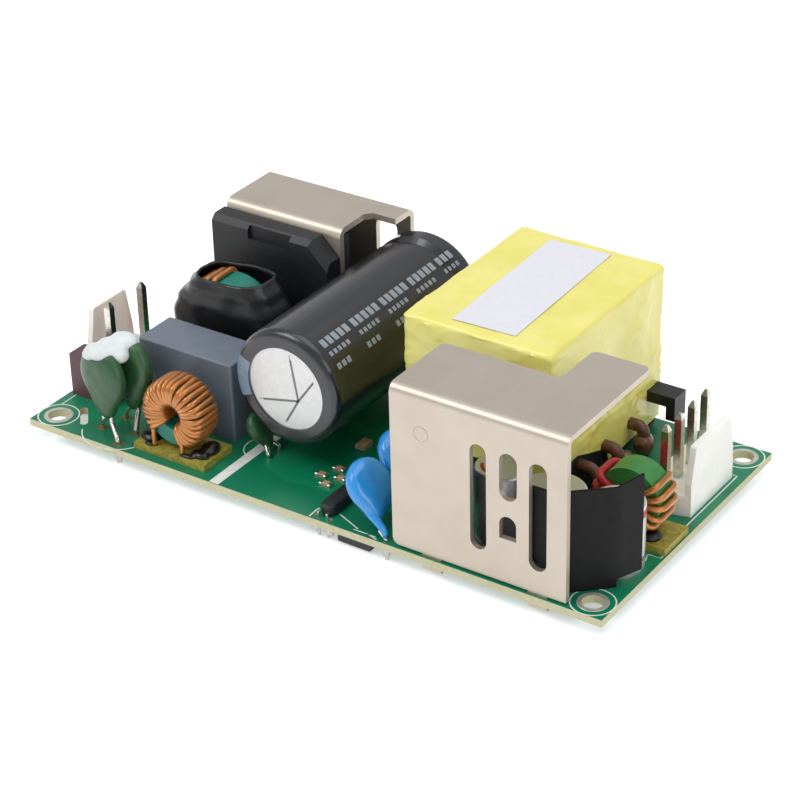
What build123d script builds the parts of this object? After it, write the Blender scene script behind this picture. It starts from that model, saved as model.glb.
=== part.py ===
"""Open-frame switching power supply on a 4 x 2 inch circuit board, in millimetres.

The origin is the centre of the four mounting holes on the board's underside. +X runs from the
mains connector to the output connector, +Y to the long edge away from the slotted heatsink, +Z up.
Every rise is counted from the top of the board.
"""
from math import cos, hypot, radians, sin, sqrt
import os

from build123d import *

# Circuit board
board_length = 101.6
board_width = 50.8
board_thickness = 1.2
hole_spacing_x = 95.25
hole_spacing_y = 44.45
mounting_hole_diameter = 3.2
hole_clearance = 0.15
lead_protrusion = 2.0
joint_height = 1.3
joint_foot = 0.4
joint_tip = 0.2
fit_gap = 0.1
creepage_slot_x = -44.1
creepage_slot_y = -20.4
creepage_slot_length = 5.2
creepage_slot_width = 1.3
creepage_slot_turn = -50.0

# Pin headers: square pins in a moulded base with a tall locking wall
pin_pitch = 3.96
pin_side = 1.14
pin_tip_height = 0.9
pin_tip_taper = 22.0
header_base_height = 3.4
header_base_inner = 3.2
header_corner_radius = 0.5
header_wall_thickness = 1.0
header_wall_taper = 1.2
header_wall_shoulder = 5.4
mains_header_x = -46.4
mains_header_y = -5.9
mains_positions = 3
mains_pin_rise = 14.5
mains_wall_reach = 4.3
mains_wall_rise = 12.4
mains_wall_length = 10.2
output_header_x = 44.4
output_header_y = 9.6
output_positions = 4
output_pin_rise = 13.9
output_wall_reach = 4.5
output_wall_rise = 11.2
output_wall_length = 12.8

# Box fuse
fuse_length = 8.5
fuse_width = 4.0
fuse_height = 7.2
fuse_x = -46.05
fuse_y = -14.0
fuse_pitch = 5.08
fuse_lead_diameter = 0.6
box_edge_radius = 0.5

# Two inrush limiting discs with a bridge of silicone over their tops
disc_diameter = 10.3
disc_thickness = 3.4
disc_edge_radius = 1.2
disc_turn = -10.0
disc_neck_width = 3.4
disc_neck_drop = 6.6
disc_centre_1 = (-37.4, -22.3)
disc_rise_1 = 9.7
disc_holes_1 = ((-39.4, -21.5), (-34.3, -24.0))
disc_centre_2 = (-35.2, -18.5)
disc_rise_2 = 10.6
disc_holes_2 = ((-38.2, -17.3), (-33.8, -20.2))
disc_lead_diameter = 0.8
disc_lead_spread = 0.9
disc_lead_bend = 0.6
silicone_length = 8.4
silicone_width = 8.2
silicone_height = 5.2
silicone_rise = 11.9
silicone_edge_radius = 1.9

# Film capacitor across the mains
film_length = 17.7
film_width = 7.8
film_height = 13.2
film_x = -28.15
film_y = -10.5
film_pitch = 15.0
film_lead_diameter = 0.8

# Two wound rings that stand on fibre plates
plate_length = 13.3
plate_width = 7.0
plate_thickness = 1.1
ring_radius = 4.8
ring_bore_radius = 2.3
ring_height = 4.2
ring_wire = 0.75
ring_seat = 0.3
turn_groove = 0.22
turn_groove_depth = 0.3
input_choke_x = -24.75
input_choke_y = -20.2
input_turns = 28
input_turn_angle = 10.5
input_start_angle = 288.0
output_choke_x = 41.4
output_choke_y = -3.9
red_turns = 4
red_turn_angle = 19.0
red_start_angle = 145.0
copper_turns = 6
copper_turn_angle = 20.0
copper_start_angle = -72.0
ring_lead_offset = 3.4
ring_lead_offset_near = 1.9

# Common-mode choke in a heat-shrink sleeve
mode_x = -30.5
mode_y = 1.0
mode_rise = 10.0
mode_radius = 7.2
mode_bore_radius = 3.9
mode_height = 5.0
mode_wire = 0.8
mode_turns = 11
mode_turn_angle = 13.0
mode_left_start = 110.0
mode_right_start = -75.0
mode_lead_offset = 4.2
sleeve_wall = 0.5
sleeve_length = 20.0
sleeve_width = 10.0
sleeve_mouth_length = 15.0
sleeve_mouth_width = 7.7
sleeve_foot_rise = 0.3
sleeve_left_rise = 17.9
sleeve_right_rise = 20.2
sleeve_corner_share = 0.44

# Rear heatsink: a channel folded from sheet
rear_sheet = 1.0
rear_left = -39.5
rear_right = -13.0
rear_front = 12.2
rear_back = 25.0
rear_rise = 25.0
rear_bend = 1.6
rear_notch_x = -17.6
rear_notch_y = 19.8
rear_notch_chamfer = 2.2
rear_cut_x = -17.0
rear_cut_width = 4.0
rear_cut_height = 18.5
rear_cut_rise = 22.5
sheet_gap = 0.3
tab_width = 3.1
tab_clearance = 0.15
tab_protrusion = 1.0
rear_tab_inset = 5.0

# Bridge rectifier against the rear heatsink
bridge_length = 22.1
bridge_thickness = 3.5
bridge_height = 18.65
bridge_rise = 4.85
bridge_x = -28.85
bridge_corner = 3.2
bridge_bevel = 0.9
bridge_recess_width = 8.0
bridge_recess_height = 2.4
bridge_recess_depth = 1.3
bridge_pitch = 5.08
bridge_lead_width = 1.1
bridge_lead_thickness = 0.6

# Flat packages with a mounting hole: two power transistors and the output rectifier
package_width = 10.0
package_height = 15.6
package_thickness = 4.5
package_shelf = 2.7
package_shelf_height = 6.0
package_slope = 0.9
package_hole_drop = 3.1
package_hole_diameter = 3.2
package_hole_rise = 19.7
package_lead_pitch = 2.54
package_lead_width = 0.9
package_lead_thickness = 0.5
package_lead_offset = 2.4
transistor_front_x = -23.6
transistor_back_x = -30.5
rectifier_x = 21.6

# Clinched studs and nuts that hold the flat packages
stud_diameter = 2.5
stud_head_diameter = 2.8
stud_stick_out = 0.8
nut_across_flats = 5.0
nut_thickness = 2.0

# Bulk capacitor that lies along +Y above the board
bulk_x = -8.0
bulk_rise = 13.8
bulk_front = -15.3
bulk_length = 39.2
bulk_radius = 9.35
bulk_sleeve_thickness = 0.25
bulk_edge_radius = 1.3
bulk_window_radius = 6.65
bulk_bead_inset = 4.2
bulk_bead_depth = 0.7
bulk_bead_width = 1.8
bulk_rim_depth = 0.8
bulk_seal_radius = 7.4
bulk_seal_thickness = 2.5
bulk_lead_pitch = 7.5
bulk_lead_diameter = 0.8
bulk_lead_bend = 0.5
bulk_lead_drop = 0.5
vent_depth = 0.12
vent_width = 0.22
vent_x = 2.1
vent_z = -1.5
vent_lines = ((100.0, 7.5), (193.0, 7.2), (54.0, 5.2), (240.0, 5.0))

# Transformer
transformer_x = 19.8
transformer_y = 8.5
transformer_length = 25.0
transformer_width = 33.0
transformer_rise = 27.0
wrap_thickness = 0.4
wrap_edge_radius = 1.3
wrap_front_rise = 6.8
wrap_slope_start = 4.3
wrap_slope_length = 18.7
wrap_back_rise = 1.6
core_depth = 19.0
core_plate = 4.2
core_side = 4.5
core_centre_radius = 6.0
core_rise = 4.5
bobbin_wall = 0.9
bobbin_rail_width = 2.2
bobbin_rail_inset = 0.7
bobbin_foot_gap = 0.4
winding_radius = 11.0
transformer_pin_diameter = 0.8
transformer_pin_pitch = 5.0
transformer_pins_a_side = 5
transformer_pin_depth = 1.6
hook_reach = 5.3
hook_width = 3.4
hook_inset = 0.4
hook_rise = 6.0
hook_thickness = 1.8
hook_lip = 1.5
hook_lip_drop = 2.2
label_length = 28.7
label_width = 10.3
label_thickness = 0.1
label_x = 19.4
label_y = 8.5
label_turn = 2.0

# Sleeved secondary wires beside the transformer
secondary_sleeve = 1.9
secondary_core = 1.0
secondary_rise = 4.6
secondary_bend = 1.2
secondary_hole_x = 34.6
secondary_ys = (1.0, 7.6, 15.2)

# Front heatsink: a slotted wall folded over into a flange with a tab
front_sheet = 0.9
front_face = -24.9
front_left = 16.6
front_right = 44.9
front_rise = 26.8
front_bend = 1.4
flange_back = -12.3
flange_corner = 1.2
flange_tab_left = 35.8
flange_tab_back = -2.4
front_slots = ((30.9, 12.7, 2.6, 16.8), (35.7, 17.4, 2.8, 7.4), (40.4, 12.5, 2.8, 17.0))
front_window_x = 35.65
front_window_rise = 7.4
front_window_width = 2.7
front_window_height = 3.7
front_tab_xs = (23.15, 40.4)

# Two suppression discs that lean to the left
blue_diameter = 8.2
blue_thickness = 3.5
blue_edge_radius = 1.2
blue_lean = 40.0
blue_x = 15.2
blue_ys = (-20.9, -12.2)
blue_reaches = (7.4, 8.0)
blue_pitch = 7.2
blue_leg_diameter = 1.4
blue_leg_start = 0.9
blue_leg_end = 6.2
blue_lead_diameter = 0.6
blue_lead_bend = 0.4

# Optocoupler
opto_length = 4.6
opto_width = 6.5
opto_height = 3.4
opto_seat = 0.3
opto_x = 4.1
opto_y = -20.6
opto_leg_pitch = 2.54
opto_leg_span = 7.62
opto_leg_width = 0.5
opto_leg_thickness = 0.25
opto_leg_rise = 2.0

# Output capacitors: x, y, radius and rise
output_cans = ((29.6, -16.4, 4.0, 13.0), (38.5, -17.9, 4.9, 12.8), (45.6, -12.3, 4.0, 10.5))
can_edge_radius = 0.4
can_bead_rise = 1.6
can_bead_width = 0.7
can_bead_depth = 0.3
can_lead_diameter = 0.6
can_lead_spacing = 3.5

# Folded insulation sheet round the output capacitors
barrier_thickness = 0.4
barrier_foot = 2.6
barrier_rise = 15.8
barrier_line = ((37.6, -23.6), (42.9, -23.6), (48.8, -17.9), (50.2, -12.6))
barrier_flap_line = ((42.6, -22.9), (48.2, -17.4))
barrier_flap_rise = 5.0
barrier_fold_width = 1.4

# Parts on the underside
diode_x = 9.7
diode_y = -22.6
diode_length = 5.6
diode_width = 4.4
diode_height = 2.0
controller_x = -2.0
controller_y = 4.0
controller_length = 9.9
controller_width = 3.9
controller_height = 1.6
chip_length = 3.2
chip_width = 1.6
chip_height = 0.6
chip_places = ((-10.0, 1.0), (-10.0, 4.0), (-10.0, 7.0), (4.6, -1.0), (4.6, 9.0), (2.0, 13.0),
               (-6.0, 13.0), (20.0, -4.0), (20.0, 2.0), (20.0, 8.0), (-2.0, -6.0), (4.0, -8.0),
               (-20.0, 19.0), (28.0, -8.0))

top = board_thickness


def in_line(x, y, pitch, count, along_y=False):
    """Points in a row, centred on x, y."""
    steps = [(i - (count - 1) / 2) * pitch for i in range(count)]
    if along_y:
        return [(x, y + step) for step in steps]
    return [(x + step, y) for step in steps]


def pairs(x, y, across, along):
    """Four points, two on either side of x, y."""
    return [(x + a * across, y + b * along) for a in (-1, 1) for b in (-1, 1)]


# Where the leads go through the board
mains_pin_points = [(mains_header_x, mains_header_y + side * pin_pitch) for side in (-1, 1)]
output_pin_points = in_line(output_header_x, output_header_y, pin_pitch, output_positions, along_y=True)
fuse_points = in_line(fuse_x, fuse_y, fuse_pitch, 2)
film_points = in_line(film_x, film_y, film_pitch, 2)
ring_lead_y = (ring_height + ring_wire) / 2
input_points = [(input_choke_x - ring_lead_offset, input_choke_y - ring_lead_y),
                (input_choke_x + ring_lead_offset_near, input_choke_y - ring_lead_y)]
red_points = [(output_choke_x - ring_lead_offset, output_choke_y + side * ring_lead_y) for side in (-1, 1)]
copper_points = [(output_choke_x + ring_lead_offset_near, output_choke_y + side * ring_lead_y)
                 for side in (-1, 1)]
mode_lead_y = (mode_height + mode_wire) / 2
mode_points = pairs(mode_x, mode_y, mode_lead_offset, mode_lead_y)
bridge_points = in_line(bridge_x, rear_front - bridge_thickness / 2, bridge_pitch, 4)
transistor_front_face = rear_front + rear_sheet
transistor_back_face = rear_back - rear_sheet
rectifier_face = front_face + front_sheet
transistor_points = (in_line(transistor_front_x, transistor_front_face + package_lead_offset,
                             package_lead_pitch, 3)
                     + in_line(transistor_back_x, transistor_back_face - package_lead_offset,
                               package_lead_pitch, 3))
rectifier_points = in_line(rectifier_x, rectifier_face + package_lead_offset, package_lead_pitch, 3)
bulk_back = bulk_front + bulk_length
bulk_points = in_line(bulk_x, bulk_back + bulk_lead_drop, bulk_lead_pitch, 2)
rail_outer = transformer_length / 2 - wrap_thickness - fit_gap
rail_centre = rail_outer - bobbin_rail_width / 2
transformer_points = [point for side in (-1, 1)
                      for point in in_line(transformer_x + side * rail_centre, transformer_y,
                                           transformer_pin_pitch, transformer_pins_a_side, along_y=True)]
secondary_points = [(secondary_hole_x, y) for y in secondary_ys]
blue_points = [(blue_x, y + side * blue_pitch / 2) for y in blue_ys for side in (-1, 1)]
opto_points = pairs(opto_x, opto_y, opto_leg_pitch / 2, opto_leg_span / 2)
can_points = [(x + side * can_lead_spacing / 2, y) for x, y, radius, rise in output_cans
              for side in (-1, 1)]
rear_tab_points = [(x, rear_back - rear_sheet / 2)
                   for x in (rear_left + rear_tab_inset, rear_right - rear_tab_inset)]
front_tab_points = [(x, front_face + front_sheet / 2) for x in front_tab_xs]
lead_holes = [
    (pin_side * sqrt(2), mains_pin_points + output_pin_points),
    (fuse_lead_diameter, fuse_points),
    (disc_lead_diameter, list(disc_holes_1 + disc_holes_2)),
    (film_lead_diameter, film_points),
    (ring_wire, input_points + red_points + copper_points),
    (mode_wire, mode_points),
    (hypot(bridge_lead_width, bridge_lead_thickness), bridge_points),
    (hypot(package_lead_width, package_lead_thickness), transistor_points + rectifier_points),
    (bulk_lead_diameter, bulk_points),
    (transformer_pin_diameter, transformer_points),
    (secondary_core, secondary_points),
    (blue_lead_diameter, blue_points),
    (hypot(opto_leg_width, opto_leg_thickness), opto_points),
    (can_lead_diameter, can_points),
]


def save(piece, name):
    """Label a finished piece and write it to its own file."""
    piece.part.label = name
    export_step(piece.part, f"parts/{name}.step")


def posts(points, diameter, upper, lower=-lead_protrusion):
    """Round leads straight down through the board."""
    with Locations(*[(x, y, lower) for x, y in points]):
        Cylinder(diameter / 2, upper - lower, align=(Align.CENTER, Align.CENTER, Align.MIN))


def strips(points, width, thickness, upper, lower=-lead_protrusion):
    """Flat leads straight down through the board."""
    with Locations(*[(x, y, lower) for x, y in points]):
        Box(width, thickness, upper - lower, align=(Align.CENTER, Align.CENTER, Align.MIN))


def block(x, y, z, length, width, height, mode=Mode.ADD):
    """A box that stands on z, centred on x, y."""
    with Locations((x, y, z)):
        Box(length, width, height, align=(Align.CENTER, Align.CENTER, Align.MIN), mode=mode)


def wire(points, diameter, bend):
    """A round wire along straight runs joined by bends."""
    with BuildLine() as path:
        FilletPolyline(*points, radius=bend)
    with BuildSketch(Plane(origin=path.line @ 0, z_dir=path.line % 0)) as section:
        Circle(diameter / 2)
    sweep(section.sketch, path=path.line)


os.makedirs("parts", exist_ok=True)

# Board with its mounting holes, lead holes, creepage slot and heatsink slots
with BuildPart() as circuit_board:
    with BuildSketch(Plane.XY):
        Rectangle(board_length, board_width)
        with GridLocations(hole_spacing_x, hole_spacing_y, 2, 2):
            Circle(mounting_hole_diameter / 2, mode=Mode.SUBTRACT)
        for diameter, points in lead_holes:
            with Locations(*points):
                Circle(diameter / 2 + hole_clearance, mode=Mode.SUBTRACT)
        with Locations(Location((creepage_slot_x, creepage_slot_y), creepage_slot_turn)):
            SlotOverall(creepage_slot_length, creepage_slot_width, mode=Mode.SUBTRACT)
        with Locations(*rear_tab_points):
            Rectangle(tab_width + 2 * tab_clearance, rear_sheet + 2 * tab_clearance, mode=Mode.SUBTRACT)
        with Locations(*front_tab_points):
            Rectangle(tab_width + 2 * tab_clearance, front_sheet + 2 * tab_clearance, mode=Mode.SUBTRACT)
    extrude(amount=board_thickness)
save(circuit_board, "circuit_board")


# Pin headers
def header_housing(seat, positions, pin_steps, reach, wall_rise, wall_length):
    """Moulded base and locking wall of a pin header. The wall stands on the seat's -Y side."""
    with BuildPart() as housing:
        with BuildSketch(seat):
            with Locations((0, (header_base_inner - reach) / 2)):
                RectangleRounded(positions * pin_pitch, reach + header_base_inner, header_corner_radius)
        extrude(amount=header_base_height)
        with BuildSketch(Plane(origin=seat.origin - seat.y_dir * reach, x_dir=-seat.x_dir,
                               z_dir=seat.y_dir)):
            with BuildLine():
                half = wall_length / 2
                Polyline((-half, header_corner_radius), (-half, header_wall_shoulder),
                         (-half + header_wall_taper, wall_rise), (half - header_wall_taper, wall_rise),
                         (half, header_wall_shoulder), (half, header_corner_radius), close=True)
            make_face()
        extrude(amount=header_wall_thickness)
        wall_corners = housing.edges().filter_by(Axis(seat.origin, seat.y_dir)).group_by(Axis.Z)[-1]
        fillet(wall_corners, header_corner_radius)
        with BuildSketch(seat):
            with Locations(*[(step, 0) for step in pin_steps]):
                Rectangle(pin_side, pin_side)
        extrude(amount=header_base_height, mode=Mode.SUBTRACT)
    return housing


def header_pins(points, rise):
    """Square pins with pointed tips."""
    with BuildPart() as pins:
        strips(points, pin_side, pin_side, top + rise - pin_tip_height)
        with BuildSketch(Plane.XY.offset(top + rise - pin_tip_height)):
            with Locations(*points):
                Rectangle(pin_side, pin_side)
        extrude(amount=pin_tip_height, taper=pin_tip_taper)
    return pins


mains_seat = Plane(origin=(mains_header_x, mains_header_y, top), x_dir=(0, -1, 0), z_dir=(0, 0, 1))
output_seat = Plane(origin=(output_header_x, output_header_y, top), x_dir=(0, 1, 0), z_dir=(0, 0, 1))
mains_steps = (-pin_pitch, pin_pitch)
output_steps = [(i - (output_positions - 1) / 2) * pin_pitch for i in range(output_positions)]
save(header_housing(mains_seat, mains_positions, mains_steps, mains_wall_reach, mains_wall_rise,
                    mains_wall_length), "mains_connector_housing")
save(header_pins(mains_pin_points, mains_pin_rise), "mains_connector_pins")
save(header_housing(output_seat, output_positions, output_steps, output_wall_reach, output_wall_rise,
                    output_wall_length), "output_connector_housing")
save(header_pins(output_pin_points, output_pin_rise), "output_connector_pins")


# Moulded boxes on leads: the fuse and the film capacitor
def moulded_box(x, y, length, width, height):
    """A box on the board with rounded edges at its corners and round its top."""
    with BuildPart() as box:
        block(x, y, top, length, width, height)
        fillet(box.edges().filter_by(Axis.Z), box_edge_radius)
        fillet(box.faces().sort_by(Axis.Z)[-1].edges(), box_edge_radius / 2)
    return box


save(moulded_box(fuse_x, fuse_y, fuse_length, fuse_width, fuse_height), "fuse")
with BuildPart() as fuse_leads:
    posts(fuse_points, fuse_lead_diameter, top)
save(fuse_leads, "fuse_leads")
save(moulded_box(film_x, film_y, film_length, film_width, film_height), "film_capacitor")
with BuildPart() as film_capacitor_leads:
    posts(film_points, film_lead_diameter, top)
save(film_capacitor_leads, "film_capacitor_leads")

# Inrush limiting discs, their leads and the silicone over them
disc_direction = Vector(cos(radians(disc_turn)), sin(radians(disc_turn)), 0)
disc_normal = Vector(-sin(radians(disc_turn)), cos(radians(disc_turn)), 0)
with BuildPart() as inrush_limiter_leads:
    for centre, rise, holes in ((disc_centre_1, disc_rise_1, disc_holes_1),
                                (disc_centre_2, disc_rise_2, disc_holes_2)):
        neck = Vector(centre[0], centre[1], top + rise - disc_neck_drop)
        for side, hole in zip((-1, 1), holes):
            joint = neck + disc_direction * side * disc_lead_spread
            wire([(hole[0], hole[1], -lead_protrusion), (hole[0], hole[1], top + disc_lead_diameter),
                  (joint.X, joint.Y, joint.Z - disc_lead_diameter),
                  (joint.X, joint.Y, joint.Z + disc_lead_diameter)], disc_lead_diameter, disc_lead_bend)
save(inrush_limiter_leads, "inrush_limiter_leads")


def coated_disc(centre, rise):
    """A coated disc that narrows to a neck at its leads."""
    with BuildPart() as disc:
        with BuildSketch(Plane(origin=(centre[0], centre[1], top + rise), x_dir=disc_direction,
                               z_dir=-disc_normal)):
            Circle(disc_diameter / 2)
            with Locations((0, disc_neck_width / 2 - disc_neck_drop)):
                Circle(disc_neck_width / 2)
            make_hull()
        extrude(amount=disc_thickness / 2, both=True)
        fillet(disc.faces().filter_by(Axis((0, 0, 0), tuple(disc_normal))).edges(), disc_edge_radius)
        add(inrush_limiter_leads.part, mode=Mode.SUBTRACT)
    return disc


inrush_limiter_1 = coated_disc(disc_centre_1, disc_rise_1)
save(inrush_limiter_1, "inrush_limiter_1")
inrush_limiter_2 = coated_disc(disc_centre_2, disc_rise_2)
save(inrush_limiter_2, "inrush_limiter_2")
with BuildPart() as silicone_bridge:
    with Locations(Location(((disc_centre_1[0] + disc_centre_2[0]) / 2,
                             (disc_centre_1[1] + disc_centre_2[1]) / 2, top + silicone_rise),
                            (0, 0, disc_turn))):
        Box(silicone_length, silicone_width, silicone_height, align=(Align.CENTER, Align.CENTER, Align.MIN))
    fillet(silicone_bridge.edges(), silicone_edge_radius)
    add(inrush_limiter_1.part, mode=Mode.SUBTRACT)
    add(inrush_limiter_2.part, mode=Mode.SUBTRACT)
save(silicone_bridge, "silicone_bridge")


# Wound rings
def ring_core(centre, radius, bore, height):
    """A plain ring that stands on its rim."""
    with BuildPart() as core:
        with BuildSketch(Plane(origin=centre, x_dir=(1, 0, 0), z_dir=(0, 1, 0))):
            Circle(radius)
            Circle(bore, mode=Mode.SUBTRACT)
        extrude(amount=height / 2, both=True)
    return core


def ring_section(centre, angle):
    """The plane that cuts a standing ring at an angle round it."""
    a = radians(angle)
    return Plane(origin=centre, x_dir=(cos(a), 0, sin(a)), z_dir=(-sin(a), 0, cos(a)))


def wind(centre, radius, bore, height, thickness, start, turns, turn_angle):
    """Turns side by side round part of a ring as one grooved body."""
    middle = (radius + bore) / 2
    depth = radius - bore
    with BuildPart(mode=Mode.PRIVATE) as coil:
        with BuildSketch(ring_section(centre, start)) as section:
            with Locations((middle, 0)):
                Rectangle(depth + 2 * thickness, height + 2 * thickness)
            chamfer(section.vertices(), thickness / 2)
            with Locations((middle, 0)):
                Rectangle(depth, height, mode=Mode.SUBTRACT)
        revolve(axis=Axis(centre, (0, -1, 0)), revolution_arc=turns * turn_angle)
        for i in range(1, turns):
            with BuildSketch(ring_section(centre, start + i * turn_angle)) as section:
                with Locations((middle + thickness, 0)):
                    Rectangle(depth + 2 * thickness, height + 4 * thickness)
                with Locations((middle, 0)):
                    Rectangle(depth + 2 * (thickness - turn_groove_depth),
                              height + 2 * (thickness - turn_groove_depth), mode=Mode.SUBTRACT)
            extrude(amount=turn_groove / 2, both=True, mode=Mode.SUBTRACT)
    return coil.part


def ring_leads(points, centre, radius, bore, thickness):
    """Leads from the board to the wound part of a ring."""
    middle = (radius + bore) / 2
    for x, y in points:
        posts([(x, y)], thickness, centre[2] - sqrt(middle ** 2 - min(middle, abs(x - centre[0])) ** 2))


def fibre_plate(x, y, points):
    """The plate under a standing ring, with holes for the ring's leads."""
    with BuildPart() as plate:
        block(x, y, top, plate_length, plate_width, plate_thickness)
        with Locations(*[(px, py, top) for px, py in points]):
            Cylinder(ring_wire / 2 + hole_clearance, 2 * plate_thickness, mode=Mode.SUBTRACT)
    return plate


ring_z = top + plate_thickness + ring_seat + ring_radius + ring_wire
input_centre = (input_choke_x, input_choke_y, ring_z)
output_centre = (output_choke_x, output_choke_y, ring_z)
save(ring_core(input_centre, ring_radius, ring_bore_radius, ring_height), "input_choke_core")
with BuildPart() as input_choke_winding:
    add(wind(input_centre, ring_radius, ring_bore_radius, ring_height, ring_wire, input_start_angle,
             input_turns, input_turn_angle))
    ring_leads(input_points, input_centre, ring_radius, ring_bore_radius, ring_wire)
save(input_choke_winding, "input_choke_winding")
save(fibre_plate(input_choke_x, input_choke_y, input_points), "input_choke_plate")
save(ring_core(output_centre, ring_radius, ring_bore_radius, ring_height), "output_choke_core")
with BuildPart() as output_choke_red_winding:
    add(wind(output_centre, ring_radius, ring_bore_radius, ring_height, ring_wire, red_start_angle,
             red_turns, red_turn_angle))
    ring_leads(red_points, output_centre, ring_radius, ring_bore_radius, ring_wire)
save(output_choke_red_winding, "output_choke_red_winding")
with BuildPart() as output_choke_copper_winding:
    add(wind(output_centre, ring_radius, ring_bore_radius, ring_height, ring_wire, copper_start_angle,
             copper_turns, copper_turn_angle))
    ring_leads(copper_points, output_centre, ring_radius, ring_bore_radius, ring_wire)
save(output_choke_copper_winding, "output_choke_copper_winding")
save(fibre_plate(output_choke_x, output_choke_y, red_points + copper_points), "output_choke_plate")

# Common-mode choke in its sleeve
mode_centre = (mode_x, mode_y, top + mode_rise)
save(ring_core(mode_centre, mode_radius, mode_bore_radius, mode_height), "mode_choke_core")
with BuildPart() as mode_choke_windings:
    for start in (mode_left_start, mode_right_start):
        add(wind(mode_centre, mode_radius, mode_bore_radius, mode_height, mode_wire, start, mode_turns,
                 mode_turn_angle))
    ring_leads(mode_points, mode_centre, mode_radius, mode_bore_radius, mode_wire)
save(mode_choke_windings, "mode_choke_windings")


def sleeve_shape(inset):
    """The sleeve's outside, or its inside when inset by the wall."""
    sections = ((sleeve_foot_rise, sleeve_mouth_length, sleeve_mouth_width),
                (mode_rise, sleeve_length, sleeve_width),
                (sleeve_right_rise, sleeve_mouth_length, sleeve_mouth_width))
    outlines = []
    for rise, length, width in sections:
        with BuildSketch(Plane(origin=(mode_x, mode_y, top + rise))) as outline:
            RectangleRounded(length - 2 * inset, width - 2 * inset,
                             (width - 2 * inset) * sleeve_corner_share)
        outlines.append(outline.sketch)
    loft(outlines)


with BuildPart() as sleeve_inside:
    sleeve_shape(sleeve_wall)
with BuildPart() as mode_choke_sleeve:
    sleeve_shape(0)
    add(sleeve_inside.part, mode=Mode.SUBTRACT)
    with BuildSketch(Plane(origin=(mode_x, mode_y, top), x_dir=(1, 0, 0), z_dir=(0, -1, 0))):
        with BuildLine():
            Polyline((-sleeve_length, sleeve_left_rise), (-sleeve_mouth_length / 2, sleeve_left_rise),
                     (sleeve_mouth_length / 2, sleeve_right_rise), (sleeve_length, sleeve_right_rise),
                     (sleeve_length, 2 * sleeve_right_rise), (-sleeve_length, 2 * sleeve_right_rise),
                     close=True)
        make_face()
    extrude(amount=sleeve_width, both=True, mode=Mode.SUBTRACT)
save(mode_choke_sleeve, "mode_choke_sleeve")

# Studs and nuts of the three flat packages: x, sheet's outer face, side the package is on, sheet
mountings = ((transistor_front_x, rear_front, 1, rear_sheet), (transistor_back_x, rear_back, -1, rear_sheet),
             (rectifier_x, front_face, 1, front_sheet))
hole_z = top + package_hole_rise
with BuildPart() as package_studs:
    for x, face, side, sheet in mountings:
        with BuildSketch(Plane(origin=(x, face, hole_z), x_dir=(1, 0, 0), z_dir=(0, side, 0))):
            Circle(stud_head_diameter / 2)
        extrude(amount=sheet)
        with BuildSketch(Plane(origin=(x, face + side * sheet, hole_z), x_dir=(1, 0, 0), z_dir=(0, side, 0))):
            Circle(stud_diameter / 2)
        extrude(amount=package_shelf + nut_thickness + stud_stick_out)
save(package_studs, "package_studs")
with BuildPart() as package_nuts:
    for x, face, side, sheet in mountings:
        with BuildSketch(Plane(origin=(x, face + side * (sheet + package_shelf), hole_z), x_dir=(1, 0, 0),
                               z_dir=(0, side, 0))):
            RegularPolygon(nut_across_flats / 2, 6, major_radius=False)
            Circle(stud_diameter / 2, mode=Mode.SUBTRACT)
        extrude(amount=nut_thickness)
save(package_nuts, "package_nuts")


def flat_package(x, face, side):
    """A moulded package with its back on a sheet's face and a thinner end round its hole."""
    high = hole_z + package_hole_drop
    with BuildPart() as package:
        with BuildSketch(Plane.YZ.offset(x - package_width / 2)):
            with BuildLine():
                Polyline((face, high), (face, high - package_height),
                         (face + side * package_thickness, high - package_height),
                         (face + side * package_thickness, high - package_shelf_height - package_slope),
                         (face + side * package_shelf, high - package_shelf_height),
                         (face + side * package_shelf, high), close=True)
            make_face()
        extrude(amount=package_width)
        with Locations(Location((x, face, hole_z), (90, 0, 0))):
            Cylinder(package_hole_diameter / 2, 2 * package_thickness, mode=Mode.SUBTRACT)
    return package


package_foot = hole_z + package_hole_drop - package_height
save(flat_package(transistor_front_x, transistor_front_face, 1), "power_transistor_1")
save(flat_package(transistor_back_x, transistor_back_face, -1), "power_transistor_2")
save(flat_package(rectifier_x, rectifier_face, 1), "output_rectifier")
with BuildPart() as power_transistor_leads:
    strips(transistor_points, package_lead_width, package_lead_thickness, package_foot)
save(power_transistor_leads, "power_transistor_leads")
with BuildPart() as output_rectifier_leads:
    strips(rectifier_points, package_lead_width, package_lead_thickness, package_foot)
save(output_rectifier_leads, "output_rectifier_leads")

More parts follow.
